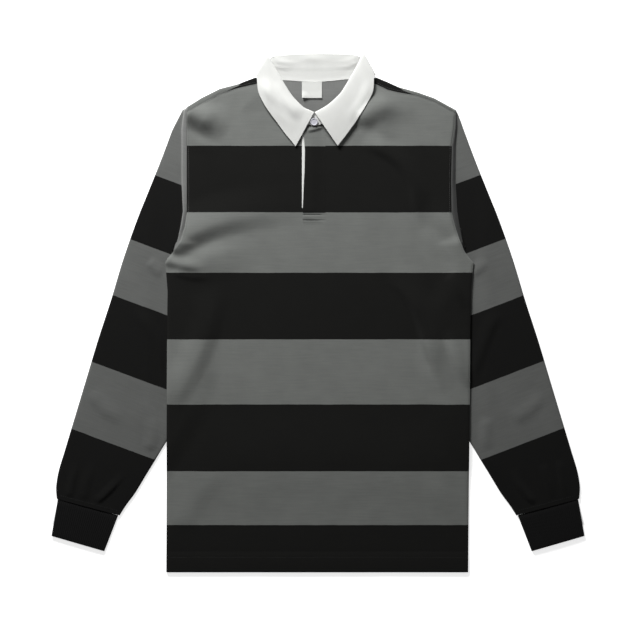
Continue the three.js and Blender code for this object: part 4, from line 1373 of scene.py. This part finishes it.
def leafLines(inset):
    # round the free edge of both wings, a little in from it
    above = (0, 0, collar["leafThickness"] / 2 + 0.08)
    last = leafGrid.shape[1] - 1
    wings = {"left": [], "right": []}
    for row in leafGrid:
        if row[:, 2].min() <= 5 or -6 <= row[0, 0] <= -5:
            continue
        at = last * (1 - inset / np.linalg.norm(row[last, :2] - row[2, :2]))
        low = int(at)
        point = mix(row[low], row[min(low + 1, last)], at - low)
        wings["left" if row[0, 0] < -5 else "right"].append(point + above)
    lines = list(wings.values())
    for a, b in ((leafGrid[0], leafGrid[5]), (leafGrid[-1], leafGrid[-6])):
        step = np.linalg.norm((b - a)[:, :2], axis=1, keepdims=True)
        lines.append((a + (b - a) * inset / step)[4:-3] + above)
    return lines


def standLine(shift):
    x = np.linspace(-58, 50, 40)
    return path(x, standSeam(x) + shift, 4.7 if shift > 0 else 4.25)


def flyLine(y):
    x = np.linspace(-22.5, 10.2, 16)
    return path(x, y, flyHeight(x, y) - 0.45)


def sleeveEndLine(side, inset):
    # the topstitch above the cuff
    turn = 1 if side == "left" else -1
    (farOuter, farInner), (outer, inner) = (
        (np.array([row["outerX"], row["outerY"]]), np.array([row["innerX"], row["innerY"]]))
        for row in sleeveSections[-2:]
    )
    away = (farOuter + farInner - outer - inner) / 2
    u = np.linspace(0.05, 0.95, 40)
    line = outer + (inner - outer) * u[:, None] + away / np.linalg.norm(away) * inset
    x, y = line[:, 0] * turn, line[:, 1]
    return path(x, y, sleeveHeightAt(side, x, y, u, 0.0) + 0.1)


def labelLine():
    x = np.linspace(label["left"] + 1.2, label["right"] - 1.2, 20)
    y = label["top"] - 1.3
    return path(x, y, labelHeight(x, y) + 0.05)


armholeLines = [armholeLine("left", 2.2), armholeLine("right", 2.0)]
sleeveLines = [sleeveEndLine(side, 5.5) for side in ("left", "right")]
shoulderInsets = (("left", 2.4), ("right", 2.0), ("left", -1.6), ("right", -1.6))
shoulderLines = [shoulderLine(*line) for line in shoulderInsets]
stitchPiece("hem_stitches", [hemLine(at) for at in front["hemStitchY"]], blackThread)
stitchPiece("armhole_stitches", armholeLines, greyThread)
stitchPiece("shoulder_stitches", shoulderLines, greyThread)
stitchPiece("collar_stitches", leafLines(4.6), whiteThread, 2.6)
stitchPiece("stand_stitches", [standLine(1.6), standLine(-1.8)], whiteThread, 2.6)
stitchPiece("placket_stitches", [flyLine(at) for at in placket["boxStitchY"]], greyThread, 2.5)
stitchPiece("cuff_stitches", sleeveLines, blackThread)
stitchPiece("label_stitches", [labelLine()], whiteThread, 2.0)
print("stitching made")


# Floor and light

studio = {
    "floorSize": 8.0,
    "floorColor": (0.92, 0.92, 0.92, 1),
    "floorGlow": 0.68,
    "skyColor": (1.0, 1.0, 1.0, 1),
    "skyStrength": 0.12,
    "keyPlace": (-0.6, 1.62, 0.93),
    "keySize": 0.6,
    "keyPower": 62.0,
    "topPlace": (0.0, 0.35, 2.6),
    "topSize": 2.2,
    "topPower": 4.0,
}
covered = {
    # what the shirt hides of the floor, in metres: the body's box, and one that slants along each sleeve
    "boxes": table(
        "turn place halfWidth middleY halfLength",
        ((1, 0), 0, 0.224, -0.045, 0.345),
        ((0.951, 0.309), 0.2505, 0.0435, -0.045, 0.285),
    ),
    "softness": 0.006,
}


def areaLight(name, place, size, power, aim):
    data = bpy.data.lights.new(name, "AREA")
    data.size, data.energy = size, power
    lamp = bpy.data.objects.new(name, data)
    lamp.location = place
    x, y, z = np.array(aim) - np.array(place)
    lamp.rotation_euler = (math.atan2(math.hypot(x, y), -z), 0, math.atan2(y, x) - math.pi / 2)
    bpy.context.scene.collection.objects.link(lamp)


def floorGlow(tree):
    # white round the shirt and dark beneath it, so that no light comes up through the seams
    calc = partial(mathNode, tree)
    x, y, _ = splitNode(tree, objectPlace(tree))
    aside = calc("ABSOLUTE", x)
    outside = []
    for box in covered["boxes"]:
        across = calc("ADD", calc("MULTIPLY", aside, box["turn"][0]), calc("MULTIPLY", y, box["turn"][1]))
        ways = ((across, box["place"], box["halfWidth"]), (y, box["middleY"], box["halfLength"]))
        away = [calc("ABSOLUTE", calc("SUBTRACT", at, middle)) for at, middle, _ in ways]
        outside.append(calc("MAXIMUM", *(calc("SUBTRACT", at, way[2]) for at, way in zip(away, ways))))
    share = calc("ADD", calc("DIVIDE", calc("MINIMUM", *outside), covered["softness"]), 1)
    return addNode(tree, "Clamp", {"Value": share}).outputs["Result"]


def makeFloor():
    bpy.ops.object.select_all(action="DESELECT")
    bpy.ops.mesh.primitive_plane_add(size=studio["floorSize"], location=(0, 0, -0.0004))
    floor = bpy.context.object
    floor.name = "floor"
    bpy.ops.object.transform_apply(location=True, rotation=True, scale=True)
    material, tree, shader = startMaterial("floor", 0.9, 0.1)
    shader.inputs["Base Color"].default_value = studio["floorColor"]
    tree.links.new(floorGlow(tree), shader.inputs["Emission Color"])
    shader.inputs["Emission Strength"].default_value = studio["floorGlow"]
    floor.data.materials.append(material)


makeFloor()
areaLight("key", studio["keyPlace"], studio["keySize"], studio["keyPower"], (0, 0.05, 0))
areaLight("top", studio["topPlace"], studio["topSize"], studio["topPower"], (0, 0, 0))
world = bpy.data.worlds.new("studio")
world.use_nodes = True
world.node_tree.nodes["Background"].inputs["Color"].default_value = studio["skyColor"]
world.node_tree.nodes["Background"].inputs["Strength"].default_value = studio["skyStrength"]
bpy.context.scene.world = world
print("studio lit")
